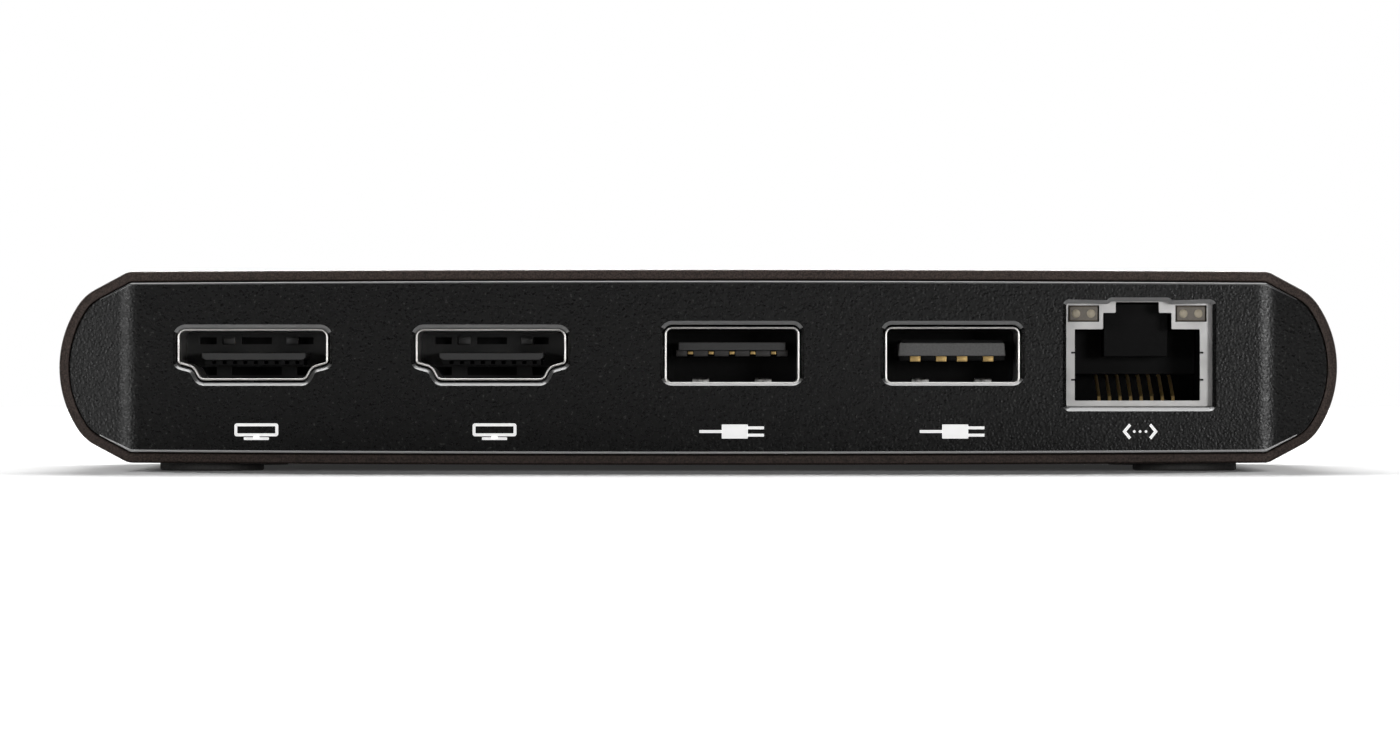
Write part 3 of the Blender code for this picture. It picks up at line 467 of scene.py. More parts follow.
def blocks(name, corners, look_name, bevel=0.0, segments=3):
    """One piece made of blocks, each a (low, high) pair, with their edges rounded."""
    mesh_data = bmesh.new()
    for (x0, y0, z0), (x1, y1, z1) in corners:
        base = [(x0, y0), (x1, y0), (x1, y1), (x0, y1)]
        add_loft(mesh_data, [ring_z(base, z0), ring_z(base, z1)])
    obj = to_object(name, mesh_data, [look_name])
    if bevel:
        soften(obj, bevel, segments)
    return obj


def soften(obj, width, segments=2, angle=math.radians(30)):
    """Rounds the edges that are sharper than angle."""
    modifier = obj.modifiers.new("Soft edges", "BEVEL")
    modifier.width = width
    modifier.segments = segments
    modifier.limit_method = "ANGLE"
    modifier.angle_limit = angle
    modifier.use_clamp_overlap = True
    return obj


def applied(obj):
    """Fixes the object's modifiers into its mesh."""
    evaluated = obj.evaluated_get(bpy.context.evaluated_depsgraph_get())
    mesh = bpy.data.meshes.new_from_object(evaluated)
    obj.modifiers.clear()
    obj.data = mesh
    return obj


def combine(target, tools, operation="DIFFERENCE"):
    """A Boolean of target with each tool. The tools are used up."""
    for tool in tools:
        modifier = target.modifiers.new(operation.title(), "BOOLEAN")
        modifier.operation = operation
        modifier.object = tool
        modifier.solver = "MANIFOLD"
        modifier.material_mode = "TRANSFER"
    applied(target)
    for tool in tools:
        bpy.data.objects.remove(tool)
    return target


def joined(name, parts):
    """Several objects as one piece."""
    mesh_data = bmesh.new()
    names = []
    for part in parts:
        applied(part)
        indices = []
        for part_material in part.data.materials:
            if part_material.name not in names:
                names.append(part_material.name)
            indices.append(names.index(part_material.name))
        start = len(mesh_data.faces)
        mesh_data.from_mesh(part.data)
        mesh_data.faces.ensure_lookup_table()
        for face in mesh_data.faces[start:]:
            face.material_index = indices[min(face.material_index, len(indices) - 1)]
        bpy.data.objects.remove(part)
    mesh = bpy.data.meshes.new(name)
    mesh_data.to_mesh(mesh)
    mesh_data.free()
    for material_name in names:
        mesh.materials.append(bpy.data.materials[material_name])
    obj = bpy.data.objects.new(name, mesh)
    bpy.context.scene.collection.objects.link(obj)
    return obj


def finished(obj, slot, *nodes, crease=math.radians(32)):
    """Shades the piece and hands it over as standing for those CAD nodes."""
    applied(obj)
    obj.data.shade_smooth()
    obj.data.set_sharp_from_angle(angle=crease)
    even = obj.modifiers.new("Even shading", "WEIGHTED_NORMAL")
    even.keep_sharp = True
    applied(obj)
    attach(obj, "root")
    if nodes:
        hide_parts(*nodes)
    return obj


def middle_x(node):
    low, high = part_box(node)
    return (low.x + high.x) / 2


# Enclosure


def through(opening, x, z):
    """The hole in a cap for a shell with that opening."""
    return placed(grown(opening, RIM_WALL + CUTOUT_GAP), x, z)


def split_at_bends(mesh_data):
    """Adds edges across the mesh wherever the caps and the sleeve's ends bend."""
    stations = [BEND_X + BEND_RADIUS * math.sin(BEND_ANGLE * n / BEND_STEPS) for n in range(BEND_STEPS + 1)]
    for x in stations + [-x for x in stations]:
        geometry = mesh_data.verts[:] + mesh_data.edges[:] + mesh_data.faces[:]
        bmesh.ops.bisect_plane(mesh_data, geom=geometry, plane_co=(x, 0, 0), plane_no=(1, 0, 0), dist=1e-7)


def make_sleeve():
    """The extruded tube, its ends turned back like the caps, with a seat for each foot."""
    wall = section_ring(sleeve_low.y, sleeve_high.y, WALL, 0.22 * MM)
    mesh_data = bmesh.new()
    add_loft(mesh_data, [ring_y(body_outline(inset), y) for inset, y in wall], loop=True)
    split_at_bends(mesh_data)
    for vert in mesh_data.verts:
        vert.co.y -= math.copysign(set_back(vert.co.x), vert.co.y)
    sleeve = to_object("sleeve", mesh_data, ["anodised_aluminium"])
    seats = []
    for foot in FEET:
        low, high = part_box(foot)
        centre = (low + high) / 2
        radius = (high.x - low.x) / 2 + CUTOUT_GAP
        outline = placed(circle(radius, FOOT_STEPS), centre.x, centre.y)
        rings = [ring_z(outline, low.z - 1 * MM), ring_z(outline, high.z + 0.04 * MM)]
        seats.append(lofted(f"seat_{foot}", rings, "anodised_aluminium"))
    combine(sleeve, seats)
    return finished(sleeve, "anodised_aluminium", "housing_sleeve")


def make_feet():
    """Round pads with a rounded rim and a shallow dish underneath."""
    for foot in FEET:
        low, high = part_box(foot)
        centre = (low + high) / 2
        radius = (high.x - low.x) / 2
        edge = 0.2 * MM
        profile = [(radius, high.z)]
        for n in range(6):
            angle = math.radians(18 * n)
            across = radius - edge * (1 - math.cos(angle))
            profile.append((across, low.z + edge * (1 - math.sin(angle))))
        dish = radius - 1.1 * MM
        profile += [(dish + 0.1 * MM, low.z), (dish, low.z + 0.03 * MM), (dish - 0.1 * MM, low.z + 0.1 * MM)]
        rings = [ring_z(placed(circle(r, FOOT_STEPS), centre.x, centre.y), z) for r, z in profile]
        finished(lofted(foot + "_pad", rings, "foot_rubber"), "foot_rubber", foot)


def set_back(x):
    """How far the cap's face has turned back at x."""
    past = abs(x) - BEND_X
    if past <= 0:
        return 0.0
    arc = BEND_RADIUS * math.sin(BEND_ANGLE)
    if past < arc:
        return BEND_RADIUS - math.sqrt(BEND_RADIUS**2 - past**2)
    return BEND_RADIUS * (1 - math.cos(BEND_ANGLE)) + (past - arc) * math.tan(BEND_ANGLE)


def cap_ring(inset, face, way, share, fillet):
    """One ring of the cap's front edge: share runs from 0 on its wall to 1 on its face."""
    angle = math.pi / 2 * share
    points = []
    for place, (x, _) in enumerate(body_outline(inset)):
        radius = fillet if abs(x) < FLAT_HALF else min(fillet, CAP_END_FILLET)
        x, z = body_outline(inset + radius * (1 - math.cos(angle)))[place]
        points.append((x, way * (face - radius * (1 - math.sin(angle))), z))
    return points


def bent_plug(name, face, back, inset, fillet, way):
    """A solid of the body's outline whose front follows the cap's bends and has a fillet all round."""
    mesh_data = bmesh.new()
    steps = 5 if fillet else 0
    sections = [ring_y(body_outline(inset), way * back)]
    sections += [cap_ring(inset, face, way, n / max(steps, 1), fillet) for n in range(steps + 1)]
    rings = add_loft(mesh_data, sections)
    # The fillet's faces on the flat part take painted light: the upper half a painted highlight, the lower
    # half, which faces down, a painted floor reflection.
    for near, far in zip(rings[1:], rings[2:]):
        for vert in near:
            for side in vert.link_faces:
                if abs(vert.co.x) < FLAT_HALF and all(v in near or v in far for v in side.verts):
                    side.material_index = 1 if vert.co.z > mid_z else 2
    split_at_bends(mesh_data)
    middle = way * (face + back) / 2
    for vert in mesh_data.verts:
        if way * vert.co.y > way * middle:
            vert.co.y -= way * set_back(vert.co.x)
    return to_object(name, mesh_data, ["cap_plastic", "painted_light_trim", "painted_reflection_trim"])


def cutter(name, outline, face, way):
    """A tool for a hole through the cap's face with a chamfer round its outer edge."""
    wide = grown(outline, CUTOUT_CHAMFER + CUTTER_OVERLAP)
    mesh_data = bmesh.new()
    add_loft(mesh_data, [
        ring_y(wide, way * (face + 1 * MM)),
        ring_y(wide, way * (face + CUTTER_OVERLAP)),
        ring_y(outline, way * (face - CUTOUT_CHAMFER)),
        ring_y(outline, way * (face - 4 * MM)),
    ])
    # The tool's faces still point inwards here, so those of its lower half point up. The hole's faces that
    # point up take the painted highlight, those that point down a painted floor reflection.
    for side in mesh_data.faces:
        side.normal_update()
        if abs(side.normal.z) > 0.3:
            side.material_index = 1 if side.normal.z > 0 else 2
    return to_object(name, mesh_data, ["cap_plastic", "painted_light_trim", "dim_painted_reflection_trim"])


def make_cap(name, node, way, openings):
    """A hollow cap with its holes. Way is -1 at the front and 1 at the rear."""
    face = abs(cap_front if way < 0 else cap_rear)
    back = face - SKIRT_LENGTH
    inset = WALL + CAP_GAP
    cap = bent_plug(name, face, back, inset, CAP_FILLET, way)
    core_inset = inset + SKIRT_THICKNESS
    core = bent_plug(f"{name}_core", face - FACE_THICKNESS, back - 3 * MM, core_inset, 0, way)
    tools = [core] + [cutter(f"{name}_{n}", outline, face, way) for n, outline in enumerate(openings)]
    combine(cap, tools)
    soften(cap, 0.035 * MM, 2, math.radians(40))
    return finished(cap, "cap_plastic", node, crease=math.radians(25))


# Sockets


def make_shell(name, opening, x, z, mouth, end, node):
    """A drawn tube with a rounded lip."""
    rings = []
    for inset, y in section_ring(mouth, end, RIM_WALL, LIP):
        rings.append(ring_y(placed(grown(opening, RIM_WALL - inset), x, z), y))
    finished(lofted(name, rings, "port_steel", loop=True), "port_steel", node)


def make_tongue(name, outline, front, back, look_name):
    """A tongue with a chamfered front edge."""
    chamfer = 0.06 * MM
    return lofted(name, [
        ring_y(grown(outline, -chamfer), front),
        ring_y(outline, front + chamfer),
        ring_y(outline, back),
    ], look_name)


def spring_tab(name, x, tip, floor):
    """A tab pressed out of a shell's floor: it rises towards the mouth and curls down at its tip."""
    width = 1.6 * MM
    sheet = 0.2 * MM
    lift = 0.42 * MM
    rise = [(0.0, 0.05), (0.06, 0.7), (0.3, 1.0), (0.9, 1.0), (1.8, 0.75), (3.2, 0.2), (6.0, -0.2)]
    upper = [(tip + dy * MM, floor + lift * share) for dy, share in rise]
    lower = [(y, z - sheet) for y, z in reversed(upper)]
    outline = upper + lower
    rings = [[(x + side * width / 2, y, z) for y, z in outline] for side in (-1, 1)]
    # The tab is made in the darker steel, which is painted shade.
    return soften(lofted(name, rings, "painted_shade_steel"), 0.05 * MM, 2, math.radians(25))


def make_video_port(side):
    """The shell, the insert with its tongue and pockets, and two rows of contacts."""
    shell_low, shell_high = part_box(f"video_port_{side}_shell")
    insert_low, insert_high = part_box(f"video_port_{side}_insert")
    x = (shell_low.x + shell_high.x) / 2
    z = shell_high.z - SHELL_WALL - VIDEO_TOP
    mouth, end = shell_low.y, shell_high.y
    opening = video_opening()
    make_shell(f"video_shell_{side}", opening, x, z, mouth, end, f"video_port_{side}_shell")
    wall = mouth + VIDEO_DEPTH
    outline = placed(grown(opening, -INSERT_GAP), x, z)
    rings = [ring_y(outline, wall), ring_y(outline, insert_high.y)]
    body = lofted(f"video_body_{side}", rings, "wall_plastic")
    pockets = []
    for row, (level, height, centre_half) in enumerate(((1.37, 0.68, 1.45), (-1.57, 0.8, 2.4))):
        for n, (offset, half) in enumerate(((-4.85, 0.79), (-0.15, centre_half), (4.55, 0.79))):
            low = (x + (offset - half) * MM, wall - 1 * MM, z + (level - height / 2) * MM)
            high = (x + (offset + half) * MM, wall + 1.6 * MM, z + (level + height / 2) * MM)
            pockets.append(blocks(f"pocket_{row}_{n}", [(low, high)], "port_plastic"))
    combine(body, pockets)
    soften(body, 0.05 * MM, 2)
    tongue_z = z - VIDEO_TONGUE_DROP
    half, thick = 5.0 * MM, 0.36 * MM
    chamfer = 0.38 * MM
    tongue_outline = placed(rounded([
        (half, thick, 0.06 * MM), (-half, thick, 0.06 * MM), (-half, -thick + chamfer * 0.6, 0.08 * MM),
        (-half + chamfer, -thick, 0.08 * MM), (half - chamfer, -thick, 0.08 * MM),
        (half, -thick + chamfer * 0.6, 0.08 * MM),
    ]), x, tongue_z)
    front = insert_low.y
    tongue = make_tongue(f"video_tongue_{side}", tongue_outline, front, wall + 0.3 * MM, "tongue")
    corners = []
    for left, right in ((-3.4, -2.2), (2.7, 3.9)):
        low = (x + left * MM, wall - 0.35 * MM, z + 1.0 * MM)
        corners.append((low, (x + right * MM, wall + 0.2 * MM, z + 1.75 * MM)))
    pads = blocks(f"video_pads_{side}", corners, "tongue", 0.08 * MM, 2)
    strip_low = (x - 4.75 * MM, front + 0.9 * MM, tongue_z - 0.84 * MM)
    strip_high = (x + 4.75 * MM, wall + 0.3 * MM, tongue_z - 0.3 * MM)
    strip = blocks(f"video_strip_{side}", [(strip_low, strip_high)], "port_plastic")
    lower_places = [x + (n - 3.85) * MM for n in range(VIDEO_LOWER_CONTACTS)]
    slots = []
    for n, centre in enumerate(lower_places):
        low = (centre - 0.19 * MM, front, tongue_z - 0.72 * MM)
        high = (centre + 0.19 * MM, front + 3.5 * MM, tongue_z - 0.42 * MM)
        slots.append(blocks(f"slot_{n}", [(low, high)], "port_plastic"))
    combine(strip, slots)
    soften(strip, 0.03 * MM, 2)
    whole = joined(f"video_insert_{side}", [body, tongue, pads, strip])
    finished(whole, "port_plastic", f"video_port_{side}_insert")
    blades = []
    for n in range(VIDEO_UPPER_CONTACTS):
        centre = x + (n - 4.5) * MM
        low = (centre - 0.2 * MM, front + 4.0 * MM, tongue_z + thick - 0.15 * MM)
        high = (centre + 0.2 * MM, wall, tongue_z + thick + 0.01 * MM)
        blades.append((low, high))
    for centre in lower_places:
        low = (centre - 0.16 * MM, front + 3.6 * MM, tongue_z - 0.68 * MM)
        high = (centre + 0.16 * MM, wall, tongue_z - 0.46 * MM)
        blades.append((low, high))
    contacts = blocks(f"video_contacts_{side}", blades, "contact_gold", 0.03 * MM, 2)
    finished(contacts, "contact_gold", f"video_port_{side}_contacts")


def make_data_port(node, fast):
    """The fast port has five slim contacts under its tongue, the other four wide ones."""
    shell_low, shell_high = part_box(f"{node}_shell")
    insert_low, insert_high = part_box(f"{node}_insert")
    x = (shell_low.x + shell_high.x) / 2
    z = shell_high.z - SHELL_WALL - DATA_OPENING[1] / 2
    mouth, end = shell_low.y, shell_high.y
    opening = rectangle(*DATA_OPENING, DATA_CORNER)
    make_shell(f"{node}_tube", opening, x, z, mouth, end, f"{node}_shell")
    wall = mouth + DATA_DEPTH
    front = insert_low.y
    outline = placed(grown(opening, -INSERT_GAP), x, z)
    rings = [ring_y(outline, wall), ring_y(outline, insert_high.y)]
    body = lofted(f"{node}_body", rings, "port_plastic")
    soften(body, 0.06 * MM, 2)
    half = DATA_TONGUE_HALF
    parts = [body]
    if fast:
        upper_low, upper_high = (x - half, front, z + 0.5 * MM), (x + half, wall, z + 1.32 * MM)
        upper = blocks("upper", [(upper_low, upper_high)], "tongue")
        soften(upper, 0.08 * MM, 3)
        layer_low = (x - half - 0.2 * MM, front + 0.35 * MM, z - 0.04 * MM)
        layer_high = (x + half + 0.2 * MM, wall, z + 0.55 * MM)
        layer = blocks("layer", [(layer_low, layer_high)], "dim_plastic")
        places, width, level, height = (-4.0, -2.0, 0.0, 2.0, 4.0), 0.5, 0.27, 0.3
        parts += [upper, layer]
    else:
        tongue_outline = placed(rounded([
            (half, -0.02 * MM, 0.06 * MM), (half - 0.12 * MM, 1.25 * MM, 0.12 * MM),
            (-half + 0.12 * MM, 1.25 * MM, 0.12 * MM), (-half, -0.02 * MM, 0.06 * MM),
        ]), x, z)
        tongue = make_tongue("tongue", tongue_outline, front, wall + 0.3 * MM, "pale_tongue")
        ridge_low = (x - half + 0.3 * MM, front + 0.5 * MM, z + 1.1 * MM)
        ridge_high = (x + half - 0.3 * MM, wall, z + 1.5 * MM)
        ridge = blocks("ridge", [(ridge_low, ridge_high)], "port_plastic")
        under_low = (x - half + 0.1 * MM, front + 0.3 * MM, z - 0.45 * MM)
        under_high = (x + half - 0.1 * MM, wall, z + 0.05 * MM)
        layer = blocks("layer", [(under_low, under_high)], "port_plastic")
        places, width, level, height = (-3.5, -1.0, 1.0, 3.5), 1.0, -0.3, 0.54
        parts += [tongue, ridge, layer]
    slots = []
    for n, place in enumerate(places):
        low = (x + (place - width / 2 - 0.06) * MM, front - 0.5 * MM, z - 0.9 * MM)
        high = (x + (place + width / 2 + 0.06) * MM, front + 2.6 * MM, z + 0.9 * MM)
        slots.append(blocks(f"groove_{n}", [(low, high)], "port_plastic"))
    combine(layer, slots)
    soften(layer, 0.03 * MM, 2)
    whole = joined(f"{node}_core", parts)
    finished(whole, "port_plastic", f"{node}_insert")
    tips = []
    for n, place in enumerate(places):
        z0, z1 = z + (level - height / 2) * MM, z + (level + height / 2) * MM
        reach = front + (0.55 if fast else 0.35) * MM
        profile = [
            (reach, z0 + 0.03 * MM), (reach + 0.05 * MM, z0), (reach + 0.6 * MM, z0), (wall, z0 + 0.2 * MM),
            (wall, z1), (reach, z1),
        ]
        sides = x + (place - width / 2) * MM, x + (place + width / 2) * MM
        rings = [[(across, y, up) for y, up in profile] for across in sides]
        tips.append(soften(lofted(f"tip_{n}", rings, "contact_gold"), 0.04 * MM, 2))
    contacts = joined(f"{node}_blades", tips)
    finished(contacts, "contact_gold", f"{node}_contacts")
    floor = z - DATA_OPENING[1] / 2
    tabs = [spring_tab(f"tab_{side}", x + side * 3.0 * MM, mouth + 2.4 * MM, floor) for side in (-1, 1)]
    finished(joined(f"{node}_springs", tabs), "port_steel")


def make_network_shield(x, front):
    """The folded shield with the jack's mouth, a pocket for each lamp and small nicks at the sides."""
    shield_low, shield_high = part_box("network_jack_shield")
    body_low, body_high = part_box("network_jack_body")
    centre_x = (body_low.x + body_high.x) / 2
    half = (body_high.x - body_low.x) / 2 + 0.4 * MM
    low = (centre_x - half, front, shield_low.z)
    high = (centre_x + half, shield_high.y, shield_high.z)
    shield = soften(blocks("network_shield", [(low, high)], "satin_steel"), 0.25 * MM, 4)
    applied(shield)
    inside_low = (low[0] + JACK_SHEET, front + JACK_SHEET, low[2] + JACK_SHEET)
    inside_high = (high[0] - JACK_SHEET, high[1] + 1 * MM, high[2] - JACK_SHEET)
    inside = blocks("inside", [(inside_low, inside_high)], "satin_steel")
    mouth = placed(jack_opening(), x, mid_z)
    window = lofted("window", [ring_y(mouth, front - 1 * MM), ring_y(mouth, front + 1 * MM)], "satin_steel")
    tools = [inside, window]
    for side in (-1, 1):
        for level in (1.4, -1.2):
            x0, x1 = sorted((x + side * 5.8 * MM, x + side * 6.35 * MM))
            nick_low = (x0, front - 1 * MM, mid_z + (level - 0.09) * MM)
            nick_high = (x1, front + 0.8 * MM, mid_z + (level + 0.09) * MM)
            tools.append(blocks(f"nick_{side}_{level}", [(nick_low, nick_high)], "satin_steel"))
        tools.append(lamp_pocket(side, x + side * LAMP_X, front, SHIELD_POCKET, 1 * MM, "satin_steel"))
    combine(shield, tools)
    soften(shield, 0.05 * MM, 2)
    finished(shield, "port_steel", "network_jack_shield")


def lamp_pocket(side, x, front, size, depth, look_name):
    """A tool for the hole that a lamp sits in, where x is the lamp's own place."""
    width, height = size
    lamp_z = mid_z + LAMP_Z
    low = (x - width / 2, front - 1 * MM, lamp_z - height / 2)
    high = (x + width / 2, front + depth, lamp_z + height / 2)
    return blocks(f"pocket_{side}", [(low, high)], look_name)


def make_network_body(x, front):
    """The black body, with the latch block above and the comb behind the contacts."""
    body_low, body_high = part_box("network_jack_body")
    back = front + JACK_DEPTH + 0.2 * MM
    body = blocks("network_body", [(tuple(body_low), tuple(body_high))], "wall_plastic")
    mouth = placed(jack_opening(), x, mid_z)
    rings = [ring_y(mouth, front - 1 * MM), ring_y(mouth, front + JACK_DEPTH)]
    tools = [lofted("cavity", rings, "port_plastic")]
    for side in (-1, 1):
        lamp_x = x + side * LAMP_X
        tools.append(lamp_pocket(side, lamp_x, front, BODY_POCKET, JACK_DEPTH + 0.2 * MM, "port_plastic"))
    combine(body, tools)
    soften(body, 0.05 * MM, 2)
    latch_low = (x - 3.1 * MM, front + 3.0 * MM, mid_z + 1.0 * MM)
    latch_high = (x + 3.1 * MM, back, mid_z + 6.15 * MM)
    latch = blocks("latch", [(latch_low, latch_high)], "port_plastic", 0.12 * MM)
    comb_low = (x - 6.0 * MM, front + 7.6 * MM, mid_z - 0.7 * MM)
    comb_high = (x + 6.0 * MM, back, mid_z + 3.6 * MM)
    comb = blocks("comb", [(comb_low, comb_high)], "port_plastic", 0.12 * MM)
    finished(joined("network_body_whole", [body, latch, comb]), "port_plastic", "network_jack_body")


def make_network_wires(x, front):
    """The contacts: wires that rise from the floor at the mouth to the comb."""
    floor = mid_z - 3.0 * MM
    path = [
        (front + 1.9 * MM, floor - 0.5 * MM), (front + 2.2 * MM, floor + 0.1 * MM),
        (front + 8.0 * MM, mid_z - 0.85 * MM), (front + 9.5 * MM, mid_z - 0.75 * MM),
    ]
    wires = []
    for n in range(JACK_CONTACTS):
        wire_x = x + (n - (JACK_CONTACTS - 1) / 2) * JACK_PITCH
        sections = []
        for y, up in path:
            lean = -0.06 * MM * (y - front) / (8 * MM)
            sections.append([(wire_x + lean + dx, y, up + dz) for dx, dz in circle(0.17 * MM, 12)])
        wires.append(lofted(f"wire_{n}", sections, "contact_gold"))
    finished(joined("network_wires", wires), "contact_gold", "network_jack_contacts")


def make_lamp(name, x, front):
    """A light pipe whose face carries two small domes."""
    lamp_z = mid_z + LAMP_Z
    face = front + 0.12 * MM
    low = (x - LAMP_SIZE[0] / 2, face, lamp_z - LAMP_SIZE[1] / 2)
    high = (x + LAMP_SIZE[0] / 2, front + JACK_DEPTH, lamp_z + LAMP_SIZE[1] / 2)
    parts = [blocks("light_pipe", [(low, high)], "lamp_resin", 0.15 * MM)]
    dome = [(0.42, 0.03), (0.4, -0.03), (0.33, -0.07), (0.2, -0.095), (0.07, -0.1)]
    for offset in (-0.72, 0.72):
        sections = []
        for radius, depth in dome:
            outline = placed(circle(radius * MM, 24), x + offset * MM, lamp_z)
            sections.append(ring_y(outline, face + depth * MM))
        parts.append(lofted("dome", sections, "lamp_core"))
    finished(joined(f"lamp_{name}", parts), "lamp_resin", f"network_lamp_{name}")


def make_network_jack():
    x = middle_x("network_jack_body") - JACK_SHIFT
    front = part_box("network_jack_shield")[0].y
    make_network_shield(x, front)
    make_network_body(x, front)
    make_network_wires(x, front)
    make_lamp("left", x - LAMP_X, front)
    make_lamp("right", x + LAMP_X, front)


def make_host_inlet():
    """The inlet at the rear: a shell, and an insert whose tongue has contacts on both sides."""
    shell_low, shell_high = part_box("host_inlet_shell")
    insert_low, insert_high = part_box("host_inlet_insert")
    x = (shell_low.x + shell_high.x) / 2
    z = shell_high.z - SHELL_WALL - HOST_OPENING[1] / 2
    opening = rectangle(*HOST_OPENING, HOST_CORNER)
    make_shell("inlet_shell", opening, x, z, shell_high.y, shell_low.y, "host_inlet_shell")
    wall = shell_high.y - HOST_DEPTH
    outline = placed(grown(opening, -INSERT_GAP), x, z)
    body = lofted("inlet_body", [ring_y(outline, insert_low.y), ring_y(outline, wall)], "port_plastic")
    tongue_low = (x - 3.35 * MM, wall - 0.5 * MM, z - 0.35 * MM)
    tongue_high = (x + 3.35 * MM, insert_high.y, z + 0.35 * MM)
    tongue = blocks("inlet_tongue", [(tongue_low, tongue_high)], "port_plastic", 0.15 * MM)
    pads = []
    for n in range(HOST_CONTACTS):
        centre = x + (n - (HOST_CONTACTS - 1) / 2) * HOST_PITCH
        for low_z in (z + 0.33 * MM, z - 0.38 * MM):
            low = (centre - 0.13 * MM, wall, low_z)
            pads.append((low, (centre + 0.13 * MM, insert_high.y - 0.6 * MM, low_z + 0.05 * MM)))
    contacts = blocks("inlet_pads", pads, "contact_gold", 0.015 * MM, 2)
    whole = joined("inlet_core", [body, tongue, contacts])
    finished(whole, "port_plastic", "host_inlet_insert")


# Printed signs on the port panel


def stroke(mesh_data, x, z, outline, hole=None):
    """A flat patch of ink, or a frame where it has a hole."""
    front, back = cap_front - INK_THICKNESS, cap_front + INK_THICKNESS
    outside = placed(outline, x, z)
    if hole is None:
        add_loft(mesh_data, [ring_y(outside, front), ring_y(outside, back)])
        return
    inside = placed(hole, x, z)
    rings = [ring_y(outside, front), ring_y(outside, back), ring_y(inside, back), ring_y(inside, front)]
    add_loft(mesh_data, rings, loop=True)


def bar(mesh_data, x, z, width, height):
    stroke(mesh_data, x, z, rectangle(width * MM, height * MM, 0.05 * MM))


def display_sign(name, x, z):
    """A screen on a stand."""
    mesh_data = bmesh.new()
    screen = rectangle(4.2 * MM, 1.24 * MM, 0.24 * MM)
    stroke(mesh_data, x, z + 0.16 * MM, screen, grown(screen, -0.28 * MM))
    bar(mesh_data, x, z - 0.54 * MM, 0.6, 0.3)
    bar(mesh_data, x, z - 0.68 * MM, 2.4, 0.26)
    finished(to_object(f"display_sign_{name}", mesh_data, ["ink"]), "cap_plastic")


def plug_sign(name, x, z):
    """A plug with two prongs and its lead."""
    mesh_data = bmesh.new()
    bar(mesh_data, x + 0.1 * MM, z, 2.5, 1.35)
    for side in (-1, 1):
        bar(mesh_data, x + 2.1 * MM, z + side * 0.35 * MM, 1.6, 0.28)
    bar(mesh_data, x - 2.2 * MM, z, 2.2, 0.28)
    finished(to_object(f"plug_sign_{name}", mesh_data, ["ink"]), "cap_plastic")


def network_sign(x, z):
    """Three dots between two chevrons."""
    mesh_data = bmesh.new()
    for side in (-1, 1):
        tip, root, line = side * 1.68, side * 1.06, 0.2
        chevron = [
            (tip, 0), (root, 0.76), (root - side * line, 0.56), (tip - side * 0.36, 0),
            (root - side * line, -0.56), (root, -0.76),
        ]
        stroke(mesh_data, x, z, [(across * MM, up * MM) for across, up in chevron])
    for n in (-1, 0, 1):
        stroke(mesh_data, x + n * 0.56 * MM, z, circle(0.13 * MM, 16))
    finished(to_object("network_sign", mesh_data, ["ink"]), "cap_plastic")


def make_signs():
    z = mid_z - SIGN_DROP
    display_sign("left", -42.3 * MM, z)
    display_sign("right", -19.5 * MM, z)
    plug_sign("fast_data", 3.4 * MM, z)
    plug_sign("data", 24.5 * MM, z)
    network_sign(42.3 * MM, z)


def make_caps():
    video_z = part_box("video_port_left_shell")[1].z - SHELL_WALL - VIDEO_TOP
    data_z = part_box("data_port_shell")[1].z - SHELL_WALL - DATA_OPENING[1] / 2
    host_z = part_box("host_inlet_shell")[1].z - SHELL_WALL - HOST_OPENING[1] / 2
    data_hole = rectangle(DATA_OPENING[0], DATA_OPENING[1] - DATA_HOLE_LIFT, DATA_CORNER)
    make_cap("front_cap", "port_cap", -1, [
        through(video_opening(), middle_x("video_port_left_shell"), video_z - VIDEO_HOLE_DROP),
        through(video_opening(), middle_x("video_port_right_shell"), video_z - VIDEO_HOLE_DROP),
        through(data_hole, middle_x("fast_data_port_shell"), data_z + DATA_HOLE_LIFT),
        through(data_hole, middle_x("data_port_shell"), data_z + DATA_HOLE_LIFT),
        placed(jack_cutout(), middle_x("network_jack_body"), mid_z),
    ])
    host_hole = rectangle(*HOST_OPENING, HOST_CORNER)
    make_cap("rear_cap", "host_cap", 1, [through(host_hole, middle_x("host_inlet_shell"), host_z)])


make_sleeve()
make_feet()
make_caps()
make_video_port("left")
make_video_port("right")
make_data_port("fast_data_port", True)
make_data_port("data_port", False)
make_network_jack()
make_host_inlet()
make_signs()

# The pieces inside the housing keep their CAD shape
slot_of = {part["node"]: part["material_slot"] for part in frame["record"]["subparts"]}
for node, obj in frame["nodes"].items():
    obj.data.materials.clear()
    obj.data.materials.append(looks[slot_of[node]].material)


# Stage


def make_floor():
    corners = rectangle(2 * FLOOR_HALF, 2 * FLOOR_HALF)
    lofted("floor", [ring_z(corners, -FLOOR_THICKNESS), ring_z(corners, 0.0)], "paper")


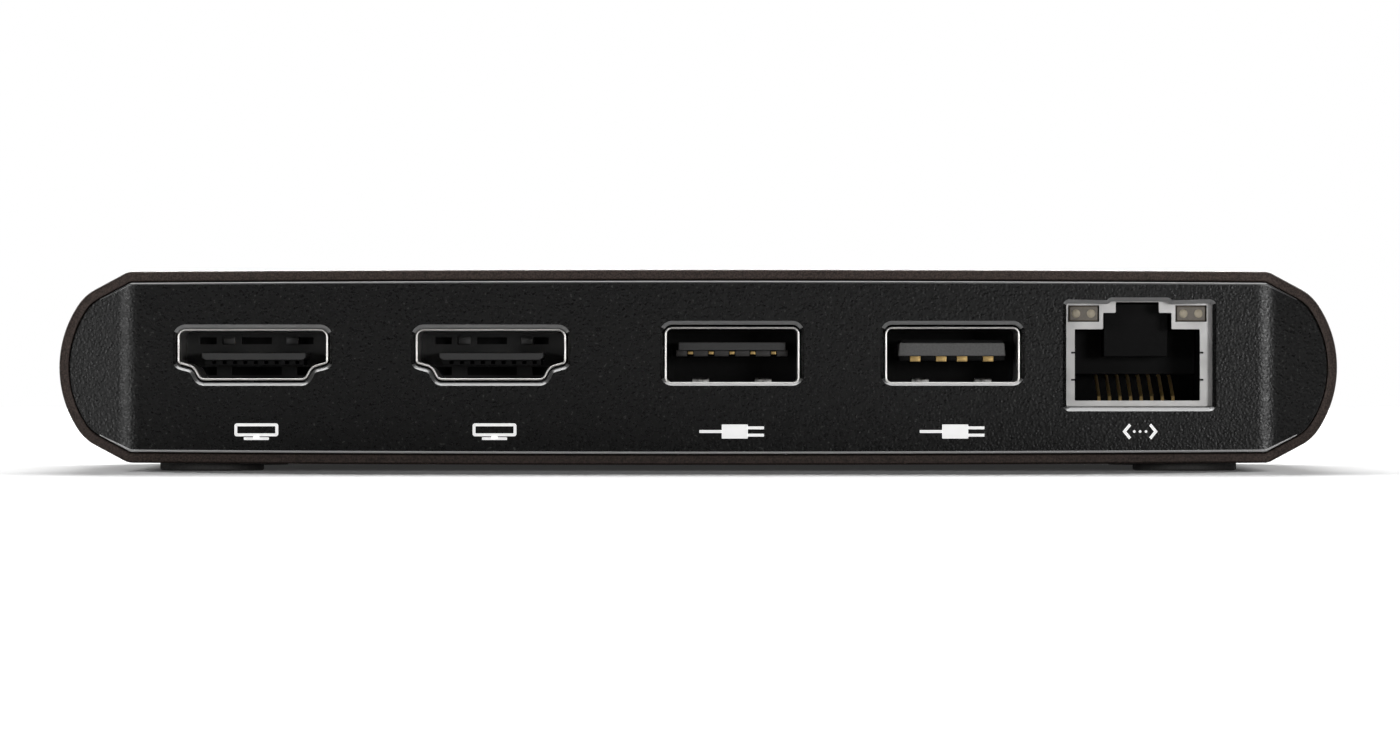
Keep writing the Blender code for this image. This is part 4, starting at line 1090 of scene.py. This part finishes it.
def area_light(name, place, target, width, height, power):
    """A white rectangular light that faces its target, sizes in metres and power in watts."""
    lamp = bpy.data.lights.new(name, "AREA")
    lamp.shape = "RECTANGLE"
    lamp.size = width
    lamp.size_y = height
    lamp.energy = power
    obj = bpy.data.objects.new(name, lamp)
    obj.location = place
    obj.rotation_euler = (Vector(target) - Vector(place)).to_track_quat("-Z", "Y").to_euler()
    obj.visible_camera = False
    bpy.context.scene.collection.objects.link(obj)
    return obj


def make_world():
    """White to the eye, and a dim room to everything else."""
    world = bpy.data.worlds.new("studio")
    world.use_nodes = True
    tree = world.node_tree
    tree.nodes.clear()
    output = tree.nodes.new("ShaderNodeOutputWorld")
    mix = tree.nodes.new("ShaderNodeMixShader")
    path = tree.nodes.new("ShaderNodeLightPath")
    tree.links.new(path.outputs["Is Camera Ray"], mix.inputs[0])
    for socket, strength in ((1, ROOM_LIGHT), (2, 1.0)):
        background = tree.nodes.new("ShaderNodeBackground")
        background.inputs["Color"].default_value = (1, 1, 1, 1)
        background.inputs["Strength"].default_value = strength
        tree.links.new(background.outputs[0], mix.inputs[socket])
    tree.links.new(mix.outputs[0], output.inputs["Surface"])
    bpy.context.scene.world = world


def make_camera():
    camera = bpy.data.cameras.new("camera")
    camera.sensor_width = 36.0
    camera.lens = 214.9
    camera.clip_start = 0.01
    camera.clip_end = 20.0
    camera.dof.use_dof = False
    obj = bpy.data.objects.new("camera", camera)
    obj.location = (CAMERA_X, cap_front - CAMERA_DISTANCE, CAMERA_Z)
    obj.rotation_euler = (math.radians(90), 0, 0)
    bpy.context.scene.collection.objects.link(obj)
    bpy.context.scene.camera = obj


def make_lights():
    """Three large far lights behind, a strip above the ports and two small ones in front."""
    ground, body = (0, 0, 0), (0, 0, mid_z)
    area_light("back", (0, 8.6, 3.35), ground, 3.2, 3.2, 1850)
    area_light("back left", (-6.4, 7.1, 4.1), ground, 2.4, 3.2, 950)
    area_light("back right", (6.4, 7.1, 4.1), ground, 2.4, 3.2, 950)
    top = area_light("top", (0, -0.09, 0.5), (0, -0.03, 0), 0.7, 0.16, 4.5)
    top.visible_diffuse = False
    area_light("front left", (-0.45, -0.64, 0.04), body, 0.26, 0.07, 1.3)
    area_light("front right", (0.235, -0.525, 0.04), body, 0.10, 0.07, 0.98)


make_floor()
make_world()
make_camera()
make_lights()

scene = bpy.context.scene
scene.view_settings.view_transform = "Standard"
scene.view_settings.look = "None"
